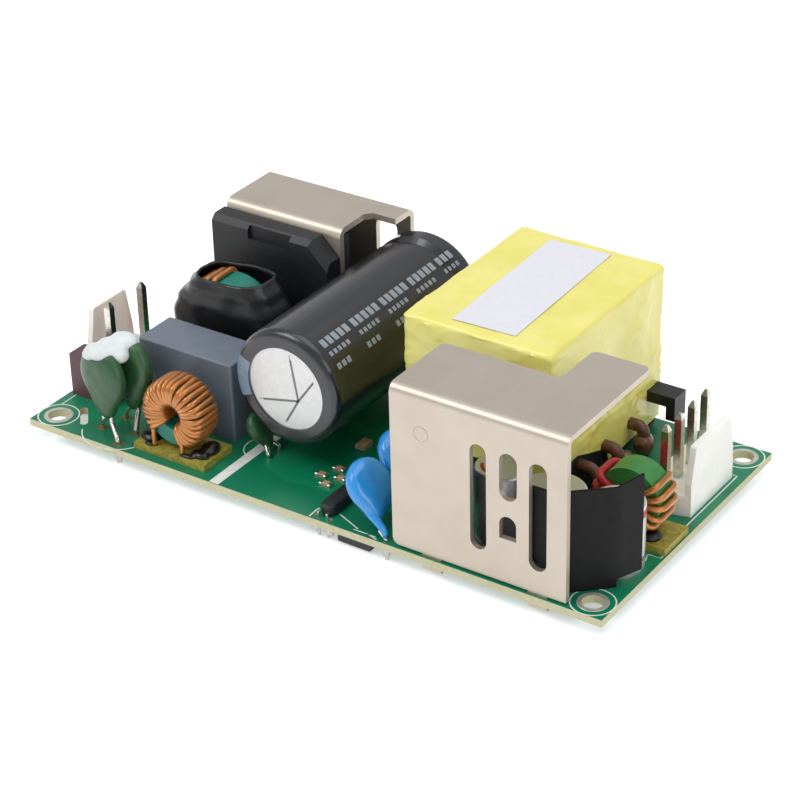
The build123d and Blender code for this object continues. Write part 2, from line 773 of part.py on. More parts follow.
# Rear heatsink
sheet_foot = top + sheet_gap
with BuildPart() as rear_heatsink:
    with BuildSketch(Plane.YZ.offset(rear_left)) as section:
        with BuildLine():
            Polyline((rear_front, sheet_foot), (rear_front, top + rear_rise), (rear_back, top + rear_rise),
                     (rear_back, sheet_foot), (transistor_back_face, sheet_foot),
                     (transistor_back_face, top + rear_rise - rear_sheet),
                     (transistor_front_face, top + rear_rise - rear_sheet),
                     (transistor_front_face, sheet_foot), close=True)
        make_face()
        fillet(section.vertices().group_by(Axis.Y)[-1], rear_bend)
        fillet(section.vertices().filter_by_position(Axis.Y, top + rear_rise - 1.2 * rear_sheet,
                                                     top + rear_rise - 0.8 * rear_sheet)
               .filter_by_position(Axis.X, transistor_front_face - 0.1, transistor_back_face + 0.1),
               rear_bend - rear_sheet)
    extrude(amount=rear_right - rear_left)
    with BuildSketch(Plane.XY.offset(sheet_foot)):
        with BuildLine():
            Polyline((rear_notch_x, rear_front - rear_bend), (rear_notch_x, rear_notch_y - rear_notch_chamfer),
                     (rear_notch_x + rear_notch_chamfer, rear_notch_y), (rear_right + rear_bend, rear_notch_y),
                     (rear_right + rear_bend, rear_front - rear_bend), close=True)
        make_face()
    extrude(amount=rear_rise, mode=Mode.SUBTRACT)
    with BuildSketch(Plane(origin=(rear_cut_x, rear_back, top + rear_cut_rise - rear_cut_height / 2),
                           x_dir=(1, 0, 0), z_dir=(0, -1, 0))):
        SlotOverall(rear_cut_height, rear_cut_width, rotation=90)
    extrude(amount=rear_sheet, mode=Mode.SUBTRACT)
    strips(rear_tab_points, tab_width, rear_sheet, sheet_foot, lower=-tab_protrusion)
    add(package_studs.part, mode=Mode.SUBTRACT)
save(rear_heatsink, "rear_heatsink")

# Bridge rectifier
with BuildPart() as bridge_rectifier:
    with BuildSketch(Plane(origin=(bridge_x, rear_front, top + bridge_rise), x_dir=(1, 0, 0),
                           z_dir=(0, -1, 0))):
        with BuildLine():
            Polyline((-bridge_length / 2, 0), (bridge_length / 2, 0),
                     (bridge_length / 2, bridge_height - bridge_corner),
                     (bridge_length / 2 - bridge_corner, bridge_height), (-bridge_length / 2, bridge_height),
                     close=True)
        make_face()
    extrude(amount=bridge_thickness)
    chamfer(bridge_rectifier.faces().sort_by(Axis.Y)[0].edges().sort_by(Axis.Z)[-2:], bridge_bevel)
    block(bridge_x, rear_front - bridge_thickness, top + bridge_rise + bridge_height - bridge_recess_height,
          bridge_recess_width, bridge_recess_depth, bridge_recess_height, mode=Mode.SUBTRACT)
save(bridge_rectifier, "bridge_rectifier")
with BuildPart() as bridge_rectifier_leads:
    strips(bridge_points, bridge_lead_width, bridge_lead_thickness, top + bridge_rise)
save(bridge_rectifier_leads, "bridge_rectifier_leads")

# Bulk capacitor
bulk_z = top + bulk_rise
bulk_axis = Axis((bulk_x, 0, bulk_z), (0, 1, 0))


def bulk_shape(inset):
    """The capacitor's outside with its bead, or the can under the sleeve when inset."""
    radius = bulk_radius - inset
    with BuildSketch(Plane.YZ.offset(bulk_x)) as section:
        with Locations((bulk_front + inset, bulk_z)):
            Rectangle(bulk_length - 2 * inset, radius, align=(Align.MIN, Align.MIN))
        fillet(section.vertices().group_by(Axis.Y)[-1], bulk_edge_radius - inset)
        bead_y = bulk_back - bulk_bead_inset
        with BuildLine():
            Polyline((bead_y - bulk_bead_width, bulk_z + radius), (bead_y - bulk_bead_width / 2,
                     bulk_z + radius - bulk_bead_depth), (bead_y, bulk_z + radius - bulk_bead_depth),
                     (bead_y + bulk_bead_width / 2, bulk_z + radius), close=True)
        make_face(mode=Mode.SUBTRACT)
    revolve(section.sketch, axis=bulk_axis)


def bulk_plug(radius, front, length, mode):
    """A cylinder on the capacitor's axis."""
    with BuildSketch(Plane(origin=(bulk_x, front, bulk_z), x_dir=(1, 0, 0), z_dir=(0, 1, 0))) as section:
        Circle(radius)
    extrude(section.sketch, amount=length, mode=mode)


seal_back = bulk_back - bulk_sleeve_thickness - bulk_rim_depth
with BuildPart() as bulk_capacitor_can:
    bulk_shape(bulk_sleeve_thickness)
    solid_can = bulk_capacitor_can.part
    bulk_plug(bulk_seal_radius, seal_back - bulk_seal_thickness, bulk_seal_thickness + 2 * bulk_rim_depth,
              Mode.SUBTRACT)
    with BuildSketch(Plane(origin=(bulk_x, bulk_front + bulk_sleeve_thickness, bulk_z), x_dir=(1, 0, 0),
                           z_dir=(0, -1, 0))):
        for angle, length in vent_lines:
            with Locations(Location((vent_x, vent_z), angle)):
                Rectangle(length, vent_width, align=(Align.MIN, Align.CENTER))
    extrude(amount=-vent_depth, mode=Mode.SUBTRACT)
save(bulk_capacitor_can, "bulk_capacitor_can")
with BuildPart() as bulk_capacitor_sleeve:
    bulk_shape(0)
    add(solid_can, mode=Mode.SUBTRACT)
    bulk_plug(bulk_window_radius, bulk_front - bulk_sleeve_thickness, 2 * bulk_sleeve_thickness, Mode.SUBTRACT)
    bulk_plug(bulk_seal_radius, bulk_back - bulk_sleeve_thickness, 2 * bulk_sleeve_thickness, Mode.SUBTRACT)
save(bulk_capacitor_sleeve, "bulk_capacitor_sleeve")
with BuildPart() as bulk_capacitor_seal:
    bulk_plug(bulk_seal_radius, seal_back - bulk_seal_thickness, bulk_seal_thickness, Mode.ADD)
save(bulk_capacitor_seal, "bulk_capacitor_seal")
with BuildPart() as bulk_capacitor_leads:
    for x, y in bulk_points:
        wire([(x, seal_back, bulk_z), (x, y, bulk_z), (x, y, -lead_protrusion)], bulk_lead_diameter,
             bulk_lead_bend)
save(bulk_capacitor_leads, "bulk_capacitor_leads")

# Transformer core, winding, bobbin and pins
core_foot = top + core_rise
core_top = top + transformer_rise - wrap_thickness
core_length = transformer_width - 2 * (wrap_thickness + fit_gap)
with BuildPart() as transformer_core:
    block(transformer_x, transformer_y, core_foot, core_depth, core_length, core_top - core_foot)
    block(transformer_x, transformer_y, core_foot + core_plate, core_depth, core_length - 2 * core_side,
          core_top - core_foot - 2 * core_plate, mode=Mode.SUBTRACT)
    with Locations((transformer_x, transformer_y, core_foot + core_plate)):
        Cylinder(core_centre_radius, core_top - core_foot - 2 * core_plate,
                 align=(Align.CENTER, Align.CENTER, Align.MIN))
save(transformer_core, "transformer_core")
flange_foot = core_foot + core_plate + fit_gap
flange_top = core_top - core_plate - fit_gap
winding_foot = flange_foot + bobbin_wall
winding_top = flange_top - bobbin_wall
tube_radius = core_centre_radius + fit_gap + bobbin_wall
rail_length = core_length - 2 * bobbin_rail_inset
hook_y = transformer_y + rail_length / 2 - hook_inset - hook_width / 2
hook_end = transformer_x + rail_outer + hook_reach
with BuildPart() as transformer_pins:
    posts(transformer_points, transformer_pin_diameter, top + bobbin_foot_gap + transformer_pin_depth)
save(transformer_pins, "transformer_pins")
with BuildPart() as transformer_bobbin:
    with Locations((transformer_x, transformer_y, flange_foot)):
        Cylinder(winding_radius + fit_gap, flange_top - flange_foot, align=(Align.CENTER, Align.CENTER, Align.MIN))
    with BuildSketch(Plane.XY.offset(winding_foot)):
        with Locations((transformer_x, transformer_y)):
            Circle(winding_radius + 2 * fit_gap)
            Circle(tube_radius, mode=Mode.SUBTRACT)
    extrude(amount=winding_top - winding_foot, mode=Mode.SUBTRACT)
    for side in (-1, 1):
        block(transformer_x + side * rail_centre, transformer_y, top + bobbin_foot_gap, bobbin_rail_width,
              rail_length, winding_foot - top - bobbin_foot_gap)
    block(transformer_x + rail_outer + hook_reach / 2, hook_y, top + hook_rise, hook_reach, hook_width,
          hook_thickness)
    block(hook_end - hook_lip / 2, hook_y, top + hook_rise - hook_lip_drop, hook_lip, hook_width,
          hook_lip_drop)
    with Locations((transformer_x, transformer_y, flange_foot)):
        Cylinder(core_centre_radius + fit_gap, flange_top - flange_foot,
                 align=(Align.CENTER, Align.CENTER, Align.MIN), mode=Mode.SUBTRACT)
    add(transformer_pins.part, mode=Mode.SUBTRACT)
save(transformer_bobbin, "transformer_bobbin")
with BuildPart() as transformer_winding:
    with BuildSketch(Plane.XY.offset(winding_foot)):
        with Locations((transformer_x, transformer_y)):
            Circle(winding_radius)
            Circle(tube_radius, mode=Mode.SUBTRACT)
    extrude(amount=winding_top - winding_foot)
save(transformer_winding, "transformer_winding")

# Secondary wires from the bobbin's rail to the board
with BuildPart() as secondary_wires:
    for x, y in secondary_points:
        wire([(transformer_x + rail_outer, y, top + secondary_rise), (x, y, top + secondary_rise), (x, y, top)],
             secondary_sleeve, secondary_bend)
    posts(secondary_points, secondary_core, top)
save(secondary_wires, "secondary_wires")

# Tape wrap, open below, with a front edge that slopes down to the back, and the blank label
with BuildPart() as transformer_wrap:
    block(transformer_x, transformer_y, top, transformer_length, transformer_width, transformer_rise)
    fillet(transformer_wrap.edges().filter_by(Axis.Z), wrap_edge_radius)
    fillet(transformer_wrap.faces().sort_by(Axis.Z)[-1].edges(), wrap_edge_radius / 2)
    block(transformer_x, transformer_y, top, transformer_length - 2 * wrap_thickness,
          transformer_width - 2 * wrap_thickness, transformer_rise - wrap_thickness, mode=Mode.SUBTRACT)
    wrap_front = transformer_y - transformer_width / 2
    wrap_back = transformer_y + transformer_width / 2
    with BuildSketch(Plane.YZ.offset(transformer_x - transformer_length)):
        with BuildLine():
            Polyline((wrap_front - 1, 0), (wrap_front - 1, top + wrap_front_rise),
                     (wrap_front + wrap_slope_start, top + wrap_front_rise),
                     (wrap_front + wrap_slope_start + wrap_slope_length, top + wrap_back_rise),
                     (wrap_back + 1, top + wrap_back_rise), (wrap_back + 1, 0), close=True)
        make_face()
    extrude(amount=2 * transformer_length, mode=Mode.SUBTRACT)
    add(transformer_bobbin.part, mode=Mode.SUBTRACT)
    add(secondary_wires.part, mode=Mode.SUBTRACT)
save(transformer_wrap, "transformer_wrap")
with BuildPart() as transformer_label:
    with Locations(Location((label_x, label_y, top + transformer_rise), (0, 0, label_turn))):
        Box(label_width, label_length, label_thickness, align=(Align.CENTER, Align.CENTER, Align.MIN))
save(transformer_label, "transformer_label")

# Front heatsink
with BuildPart() as front_heatsink:
    with BuildSketch(Plane.YZ.offset(front_left)) as section:
        with BuildLine():
            Polyline((front_face, sheet_foot), (front_face, top + front_rise),
                     (flange_tab_back, top + front_rise), (flange_tab_back, top + front_rise - front_sheet),
                     (front_face + front_sheet, top + front_rise - front_sheet),
                     (front_face + front_sheet, sheet_foot), close=True)
        make_face()
    extrude(amount=front_right - front_left)
    bend_edges = front_heatsink.edges().filter_by(Axis.X).group_by(Axis.Y)
    fillet(bend_edges[0].sort_by(Axis.Z)[-1], front_bend)
    fillet(front_heatsink.edges().filter_by(Axis.X).filter_by_position(
        Axis.Y, front_face + front_sheet / 2, front_face + 1.5 * front_sheet).sort_by(Axis.Z)[-1],
        front_bend - front_sheet)
    with BuildSketch(Plane.XY.offset(top + front_rise - front_sheet)):
        with Locations((flange_tab_left, flange_back)):
            Rectangle(flange_tab_left - front_left, flange_tab_back - flange_back,
                      align=(Align.MAX, Align.MIN))
    extrude(amount=front_sheet, mode=Mode.SUBTRACT)
    fillet(front_heatsink.edges().filter_by(Axis.Z).filter_by_position(
        Axis.Y, flange_back - 1, flange_tab_back + 1), flange_corner)
    lower_left = front_heatsink.edges().filter_by(Axis.Y).group_by(Axis.Z)[0].sort_by(Axis.X)[0]
    fillet(lower_left, flange_corner)
    wall = Plane(origin=(0, front_face, top), x_dir=(1, 0, 0), z_dir=(0, -1, 0))
    with BuildSketch(wall):
        for x, rise, width, height in front_slots:
            with Locations((x, rise)):
                SlotOverall(height, width, rotation=90)
        with Locations((front_window_x, front_window_rise)):
            Rectangle(front_window_width, front_window_height - front_window_width / 2,
                      align=(Align.CENTER, Align.MIN))
        with Locations((front_window_x, front_window_rise + front_window_height - front_window_width / 2)):
            Circle(front_window_width / 2)
    extrude(amount=-front_sheet, mode=Mode.SUBTRACT)
    strips(front_tab_points, tab_width, front_sheet, sheet_foot, lower=-tab_protrusion)
    add(package_studs.part, mode=Mode.SUBTRACT)
save(front_heatsink, "front_heatsink")

# Suppression discs and their leads
lean = Vector(-sin(radians(blue_lean)), 0, cos(radians(blue_lean)))
lean_normal = Vector(cos(radians(blue_lean)), 0, sin(radians(blue_lean)))
with BuildPart() as blue_capacitor_leads:
    for x, y in blue_points:
        seat = Vector(x, y, top)
        wire([(x, y, -lead_protrusion), seat, seat + lean * (2 * blue_leg_start)], blue_lead_diameter,
             blue_lead_bend)
save(blue_capacitor_leads, "blue_capacitor_leads")
for number, (y, reach) in enumerate(zip(blue_ys, blue_reaches), start=1):
    with BuildPart() as blue_capacitor:
        with BuildSketch(Plane(origin=Vector(blue_x, y, top) + lean * reach, x_dir=(0, 1, 0),
                               z_dir=lean_normal)):
            Circle(blue_diameter / 2)
        extrude(amount=blue_thickness / 2, both=True)
        fillet(blue_capacitor.edges().filter_by(GeomType.CIRCLE), blue_edge_radius)
        for side in (-1, 1):
            foot = Vector(blue_x, y + side * blue_pitch / 2, top) + lean * blue_leg_start
            with BuildSketch(Plane(origin=foot, x_dir=(0, 1, 0), z_dir=lean)):
                Circle(blue_leg_diameter / 2)
            extrude(amount=blue_leg_end - blue_leg_start)
        add(blue_capacitor_leads.part, mode=Mode.SUBTRACT)
    save(blue_capacitor, f"blue_capacitor_{number}")

# Optocoupler and its legs
with BuildPart() as optocoupler:
    block(opto_x, opto_y, top + opto_seat, opto_length, opto_width, opto_height)
    chamfer(optocoupler.faces().sort_by(Axis.Z)[-1].edges(), box_edge_radius)
save(optocoupler, "optocoupler")
with BuildPart() as optocoupler_legs:
    strips(opto_points, opto_leg_width, opto_leg_thickness, top + opto_leg_rise + opto_leg_thickness)
    leg_reach = (opto_leg_span - opto_width) / 2
    for x, y in opto_points:
        side = 1 if y > opto_y else -1
        block(x, y - side * leg_reach / 2, top + opto_leg_rise, opto_leg_width, leg_reach, opto_leg_thickness)
save(optocoupler_legs, "optocoupler_legs")

# Output capacitors
for number, (x, y, radius, rise) in enumerate(output_cans, start=1):
    with BuildPart() as output_capacitor:
        with Locations((x, y, top)):
            Cylinder(radius, rise, align=(Align.CENTER, Align.CENTER, Align.MIN))
        fillet(output_capacitor.edges().group_by(Axis.Z)[-1], can_edge_radius)
        with BuildSketch(Plane.XY.offset(top + can_bead_rise)):
            with Locations((x, y)):
                Circle(radius)
                Circle(radius - can_bead_depth, mode=Mode.SUBTRACT)
        extrude(amount=can_bead_width, mode=Mode.SUBTRACT)
    save(output_capacitor, f"output_capacitor_{number}")
with BuildPart() as output_capacitor_leads:
    posts(can_points, can_lead_diameter, top)
save(output_capacitor_leads, "output_capacitor_leads")


# Insulation barrier
def strip_along(line, thickness, foot, height):
    """An upright strip of sheet along a line seen from above."""
    with BuildSketch(Plane.XY.offset(foot)) as section:
        for (x1, y1), (x2, y2) in zip(line, line[1:]):
            middle = ((x1 + x2) / 2, (y1 + y2) / 2)
            direction = Vector(x2 - x1, y2 - y1).get_angle(Vector(1, 0, 0))
            with Locations(Location(middle, direction if y2 >= y1 else -direction)):
                SlotCenterToCenter(hypot(x2 - x1, y2 - y1), thickness)
    extrude(section.sketch, amount=height)


with BuildPart() as insulation_barrier:
    strip_along(barrier_line, barrier_thickness, top + barrier_foot, barrier_rise - barrier_foot)
    strip_along(barrier_flap_line, barrier_thickness, top, barrier_flap_rise)
    fold_line = [((x1 + x2) / 2, (y1 + y2) / 2) for (x1, y1), (x2, y2) in zip(barrier_line[1:3],
                                                                           barrier_flap_line)]
    strip_along(fold_line, barrier_fold_width, top + barrier_flap_rise - barrier_thickness, barrier_thickness)
save(insulation_barrier, "insulation_barrier")

# Underside parts and the solder round every lead
with BuildPart() as underside_diode:
    block(diode_x, diode_y, -diode_height, diode_length, diode_width, diode_height)
    chamfer(underside_diode.faces().sort_by(Axis.Z)[0].edges(), box_edge_radius)
save(underside_diode, "underside_diode")
with BuildPart() as underside_controller:
    block(controller_x, controller_y, -controller_height, controller_length, controller_width,
          controller_height)
    chamfer(underside_controller.faces().sort_by(Axis.Z)[0].edges(), box_edge_radius / 2)
save(underside_controller, "underside_controller")
with BuildPart() as underside_chips:
    for x, y in chip_places:
        block(x, y, -chip_height, chip_length, chip_width, chip_height)
save(underside_chips, "underside_chips")
with BuildPart() as solder_joints:
    for diameter, points in lead_holes:
        with Locations(*[(x, y, -joint_height) for x, y in points]):
            Cone(diameter / 2 + joint_tip, diameter / 2 + joint_foot, joint_height,
                 align=(Align.CENTER, Align.CENTER, Align.MIN))
    for diameter, points in lead_holes:
        with Locations(*[(x, y, -joint_height) for x, y in points]):
            Cylinder(diameter / 2, joint_height, align=(Align.CENTER, Align.CENTER, Align.MIN),
                     mode=Mode.SUBTRACT)
save(solder_joints, "solder_joints")
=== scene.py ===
"""Looks of the open-frame power supply: finishes, windings, tape, solder, print, light and camera."""
from math import cos, pi, radians, sin, sqrt
import random

import bmesh
import bpy
from mathutils import Matrix, Vector, noise


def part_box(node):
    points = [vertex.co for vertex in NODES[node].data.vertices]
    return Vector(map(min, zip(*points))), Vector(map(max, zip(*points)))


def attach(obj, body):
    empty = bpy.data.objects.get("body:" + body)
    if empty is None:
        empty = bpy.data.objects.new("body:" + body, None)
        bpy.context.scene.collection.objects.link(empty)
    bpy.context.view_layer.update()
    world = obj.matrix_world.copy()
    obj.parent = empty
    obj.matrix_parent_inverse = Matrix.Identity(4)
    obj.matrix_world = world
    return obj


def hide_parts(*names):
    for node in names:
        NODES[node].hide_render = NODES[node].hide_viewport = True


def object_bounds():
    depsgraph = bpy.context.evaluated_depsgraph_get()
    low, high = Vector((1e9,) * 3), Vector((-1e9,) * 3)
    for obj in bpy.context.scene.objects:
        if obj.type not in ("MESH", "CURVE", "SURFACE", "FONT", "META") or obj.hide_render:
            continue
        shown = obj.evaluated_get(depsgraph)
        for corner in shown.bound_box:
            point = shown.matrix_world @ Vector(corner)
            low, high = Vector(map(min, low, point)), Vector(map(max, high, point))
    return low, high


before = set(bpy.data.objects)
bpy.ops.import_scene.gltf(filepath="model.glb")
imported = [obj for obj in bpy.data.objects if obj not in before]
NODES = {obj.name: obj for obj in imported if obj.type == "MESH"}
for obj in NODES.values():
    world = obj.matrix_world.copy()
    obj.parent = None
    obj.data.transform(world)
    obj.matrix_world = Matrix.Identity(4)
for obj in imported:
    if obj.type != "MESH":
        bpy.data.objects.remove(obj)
CAD_BOX = [list(corner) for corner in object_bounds()]
MM = 0.001

# Camera, found from the board's corners and holes: millimetres in the row frame
CAMERA_TARGET = (4.566, -4.791, 11.2)
CAMERA_DISTANCE = 368.312
CAMERA_AZIMUTH = 34.618
CAMERA_ELEVATION = 30.203
CAMERA_ROLL = -1.497
CAMERA_LENS = 112.398


def linear(hex_colour):
    """Linear colour from an sRGB hex value."""
    parts = [int(hex_colour[i:i + 2], 16) / 255 for i in (1, 3, 5)]
    return tuple(c / 12.92 if c <= 0.04045 else ((c + 0.055) / 1.055) ** 2.4 for c in parts) + (1.0,)


def add_node(tree, kind, settings=None, links=None):
    """Adds a node, sets its properties and inputs, and links other sockets to its inputs."""
    made = tree.nodes.new(kind)
    for key, value in (settings or {}).items():
        if isinstance(key, str) and hasattr(made, key):
            setattr(made, key, value)
        else:
            made.inputs[key].default_value = value
    for key, source in (links or {}).items():
        tree.links.new(source, made.inputs[key])
    return made


def finish_of(name, colour, roughness, metallic=0.0, mottle=None, bump=None, **extra):
    """A finish: base colour with a fine mottle to a second colour, and a bump of a real grain size.

    mottle is (second colour, size in mm, strength) and bump is (size in mm, height in mm)."""
    material = bpy.data.materials.new(name)
    material.use_nodes = True
    tree = material.node_tree
    shader = tree.nodes["Principled BSDF"]
    shader.inputs["Base Color"].default_value = linear(colour)
    shader.inputs["Roughness"].default_value = roughness
    shader.inputs["Metallic"].default_value = metallic
    for key, value in extra.items():
        shader.inputs[key.replace("_", " ")].default_value = value
    place = add_node(tree, "ShaderNodeTexCoord")
    if mottle:
        second, size, strength = mottle
        cloud = add_node(tree, "ShaderNodeTexNoise", {"Scale": 1 / (size * MM), "Detail": 4.0},
                         {"Vector": place.outputs["Object"]})
        amount = add_node(tree, "ShaderNodeMapRange",
                          {"From Min": 0.35, "From Max": 0.65, "To Min": 0.0, "To Max": strength},
                          {"Value": cloud.outputs["Fac"]})
        blend = add_node(tree, "ShaderNodeMix",
                         {"data_type": "RGBA", 6: linear(colour), 7: linear(second)},
                         {0: amount.outputs["Result"]})
        tree.links.new(blend.outputs[2], shader.inputs["Base Color"])
    if bump:
        size, height = bump
        grain = add_node(tree, "ShaderNodeTexNoise", {"Scale": 1 / (size * MM), "Detail": 3.0},
                         {"Vector": place.outputs["Object"]})
        relief = add_node(tree, "ShaderNodeBump", {"Distance": height * MM, "Strength": 1.0},
                          {"Height": grain.outputs["Fac"]})
        tree.links.new(relief.outputs["Normal"], shader.inputs["Normal"])
    return material


# Moulded nylon 66: milky white with a soft shine
NYLON = finish_of("moulded nylon", "#f0efe9", 0.42, mottle=("#e6e4da", 3.0, 0.5), bump=(0.5, 0.01),
                  Subsurface_Weight=0.35, Subsurface_Scale=0.004)
# Tin-plated brass: bright, with faint streaks
TINNED = finish_of("tinned brass", "#d8d5cb", 0.24, 1.0, mottle=("#a9a59a", 0.6, 0.6), bump=(0.3, 0.01))
# Solder: bright, slightly lumpy
SOLDER = finish_of("solder", "#c9c9c7", 0.28, 1.0, mottle=("#8d8c88", 0.5, 0.6), bump=(0.4, 0.03))
# Nickel-plated steel sheet: satin grey with a fine orange peel, its base colour warmed as a painted warm
# reflection
NICKEL = finish_of("nickel plated sheet", "#c1b7a9", 0.38, 0.68, mottle=("#b7ab9c", 6.0, 0.5),
                   bump=(0.35, 0.004))
# Moulded epoxy of the packages: black, matte, fine grain
EPOXY = finish_of("moulded epoxy", "#1c1d20", 0.46, mottle=("#141518", 1.5, 0.6), bump=(0.25, 0.012))
# Box fuse: maroon moulded plastic
MAROON = finish_of("maroon moulded plastic", "#5f3f45", 0.5, mottle=("#543439", 2.0, 0.6), bump=(0.3, 0.012))
# Film capacitor: grey flame-retardant box
GREY_BOX = finish_of("grey moulded box", "#69717d", 0.4, mottle=("#616975", 2.5, 0.6), bump=(0.3, 0.012))
# Dipped coating of the inrush discs: olive green, waxy and uneven
GREEN_DIP = finish_of("green dipped coating", "#2b5431", 0.38, mottle=("#244a2b", 2.4, 0.8), bump=(1.2, 0.05))
# Silicone: white and soft
SILICONE = finish_of("white silicone", "#dfdedb", 0.45, mottle=("#cfcdc9", 2.0, 0.5), bump=(1.5, 0.05),
                     Subsurface_Weight=0.15)
# Coated powder cores: smooth paint over pressed powder
TEAL_CORE = finish_of("teal core paint", "#0e7a68", 0.42, mottle=("#0a6a5b", 1.0, 0.6), bump=(0.6, 0.03))
GREEN_CORE = finish_of("green core paint", "#3d8a3f", 0.42, mottle=("#347a39", 1.0, 0.6), bump=(0.6, 0.03))
# Enamelled copper wire: orange brown lacquer over bright copper
COPPER = finish_of("enamelled copper", "#c17c38", 0.3, 0.55, mottle=("#9c5b22", 2.5, 0.6),
                   Coat_Weight=0.6, Coat_Roughness=0.12)
# Triple-insulated wire: red plastic
RED_WIRE = finish_of("red insulated wire", "#b8172b", 0.32, mottle=("#9a0f22", 1.2, 0.5))
# Fibre laminate plates: yellow brown, mottled by their fibres
FIBRE = finish_of("fibre laminate", "#a59a3a", 0.55, mottle=("#7d7430", 0.8, 0.8), bump=(0.4, 0.03))
# Heat-shrink sleeve: black polyolefin, satin and faintly wrinkled
SHRINK = finish_of("black heat-shrink", "#121213", 0.33, mottle=("#1a1a1b", 2.0, 0.6), bump=(2.6, 0.05))
# Capacitor's shrink film: glossy, nearly black
FILM_SLEEVE = finish_of("shrink film", "#15161a", 0.3, mottle=("#1b1c20", 3.0, 0.5),
                        Coat_Weight=0.5, Coat_Roughness=0.12)
# Can: drawn aluminium, bright and fine grained
CAN = finish_of("drawn aluminium", "#cfcfce", 0.36, 0.8, mottle=("#c2c2c1", 0.7, 0.5), bump=(0.15, 0.004))
# Rubber bung of the bulk capacitor: dull black
RUBBER = finish_of("rubber seal", "#151515", 0.7, mottle=("#1e1e1e", 1.0, 0.5), bump=(0.3, 0.02))
# Ferrite: sintered, dark grey and matte
FERRITE = finish_of("ferrite", "#3a3a3a", 0.6, mottle=("#2e2e2e", 0.6, 0.6), bump=(0.2, 0.02))
# Polyester tape: lemon yellow film with creases
TAPE = finish_of("polyester tape", "#e6dd7c", 0.3, mottle=("#dad25c", 6.0, 0.7), bump=(3.5, 0.05),
                 Coat_Weight=0.3, Coat_Roughness=0.2)
# Label stock: plain pale grey, satin
PAPER = finish_of("label paper", "#d6d6dc", 0.5, mottle=("#cfcfd6", 1.0, 0.4), bump=(0.2, 0.006))
# Sleeving of the secondary wires: brown, darkened in patches
BROWN_WIRE = finish_of("brown sleeving", "#6b4632", 0.4, mottle=("#4c2f22", 1.5, 0.7), bump=(0.6, 0.04))
# Zinc-plated steel of the nuts: dull silver
ZINC = finish_of("zinc plated steel", "#bcbab4", 0.32, 1.0, mottle=("#9d9b95", 0.8, 0.5), bump=(0.3, 0.01))
# Ceramic discs: glossy blue epoxy dip
BLUE_DIP = finish_of("blue dipped coating", "#2a92dc", 0.22, mottle=("#2283cc", 2.0, 0.6), bump=(1.4, 0.05),
                     Coat_Weight=0.4, Coat_Roughness=0.1)
# Insulation sheet: black polyester with a fine satin grain
SHEET = finish_of("black insulation sheet", "#0f0f10", 0.6, mottle=("#171718", 1.5, 0.5), bump=(0.2, 0.01),
                  Specular_IOR_Level=0.2)
# Chip parts: fired ceramic, tan
CERAMIC = finish_of("chip ceramic", "#b79a78", 0.5, mottle=("#8f7452", 1.0, 0.6), bump=(0.2, 0.01))
# Glue under the rings: black, shiny and lumpy
GLUE = finish_of("black glue", "#0b0a09", 0.28, mottle=("#15130f", 1.2, 0.6), bump=(0.8, 0.05))
# Resin on the secondary wires' ends: dark brown, glassy
BURNT = finish_of("brown resin", "#4a2c1c", 0.3, mottle=("#8a5f3c", 1.4, 0.7), bump=(0.9, 0.08),
                  Coat_Weight=0.3)
# Screen print on the board: white, slightly thin over the mask
PRINT = finish_of("white board print", "#e4e6df", 0.5, mottle=("#cfd6cb", 0.8, 0.6), bump=(0.3, 0.01))
# Flux left by hand soldering: brown film with the green mask showing through
RESIDUE = finish_of("flux residue", "#7a5326", 0.35, mottle=("#4e6b3a", 0.7, 0.8), bump=(0.6, 0.03))
# Tinned copper pads round the mounting holes: pale, uneven
PAD = finish_of("tinned pad", "#cdc8bd", 0.4, 0.5, mottle=("#b3aea2", 0.8, 0.6), bump=(0.5, 0.02))
# Scored lines of the vent: aluminium in shadow
SCORE = finish_of("scored aluminium", "#7f7f80", 0.5, 0.6, mottle=("#6a6a6c", 0.6, 0.5))
# Inks printed on the film and on the cans
STRIPE = finish_of("printed stripe", "#74879a", 0.35, mottle=("#6a7d90", 2.0, 0.5), Coat_Weight=0.4)
INK = finish_of("pale ink on film", "#8f979f", 0.4, mottle=("#7a828b", 1.0, 0.6))
RED_INK = finish_of("red ink", "#b8402f", 0.5, mottle=("#a03426", 1.0, 0.6))


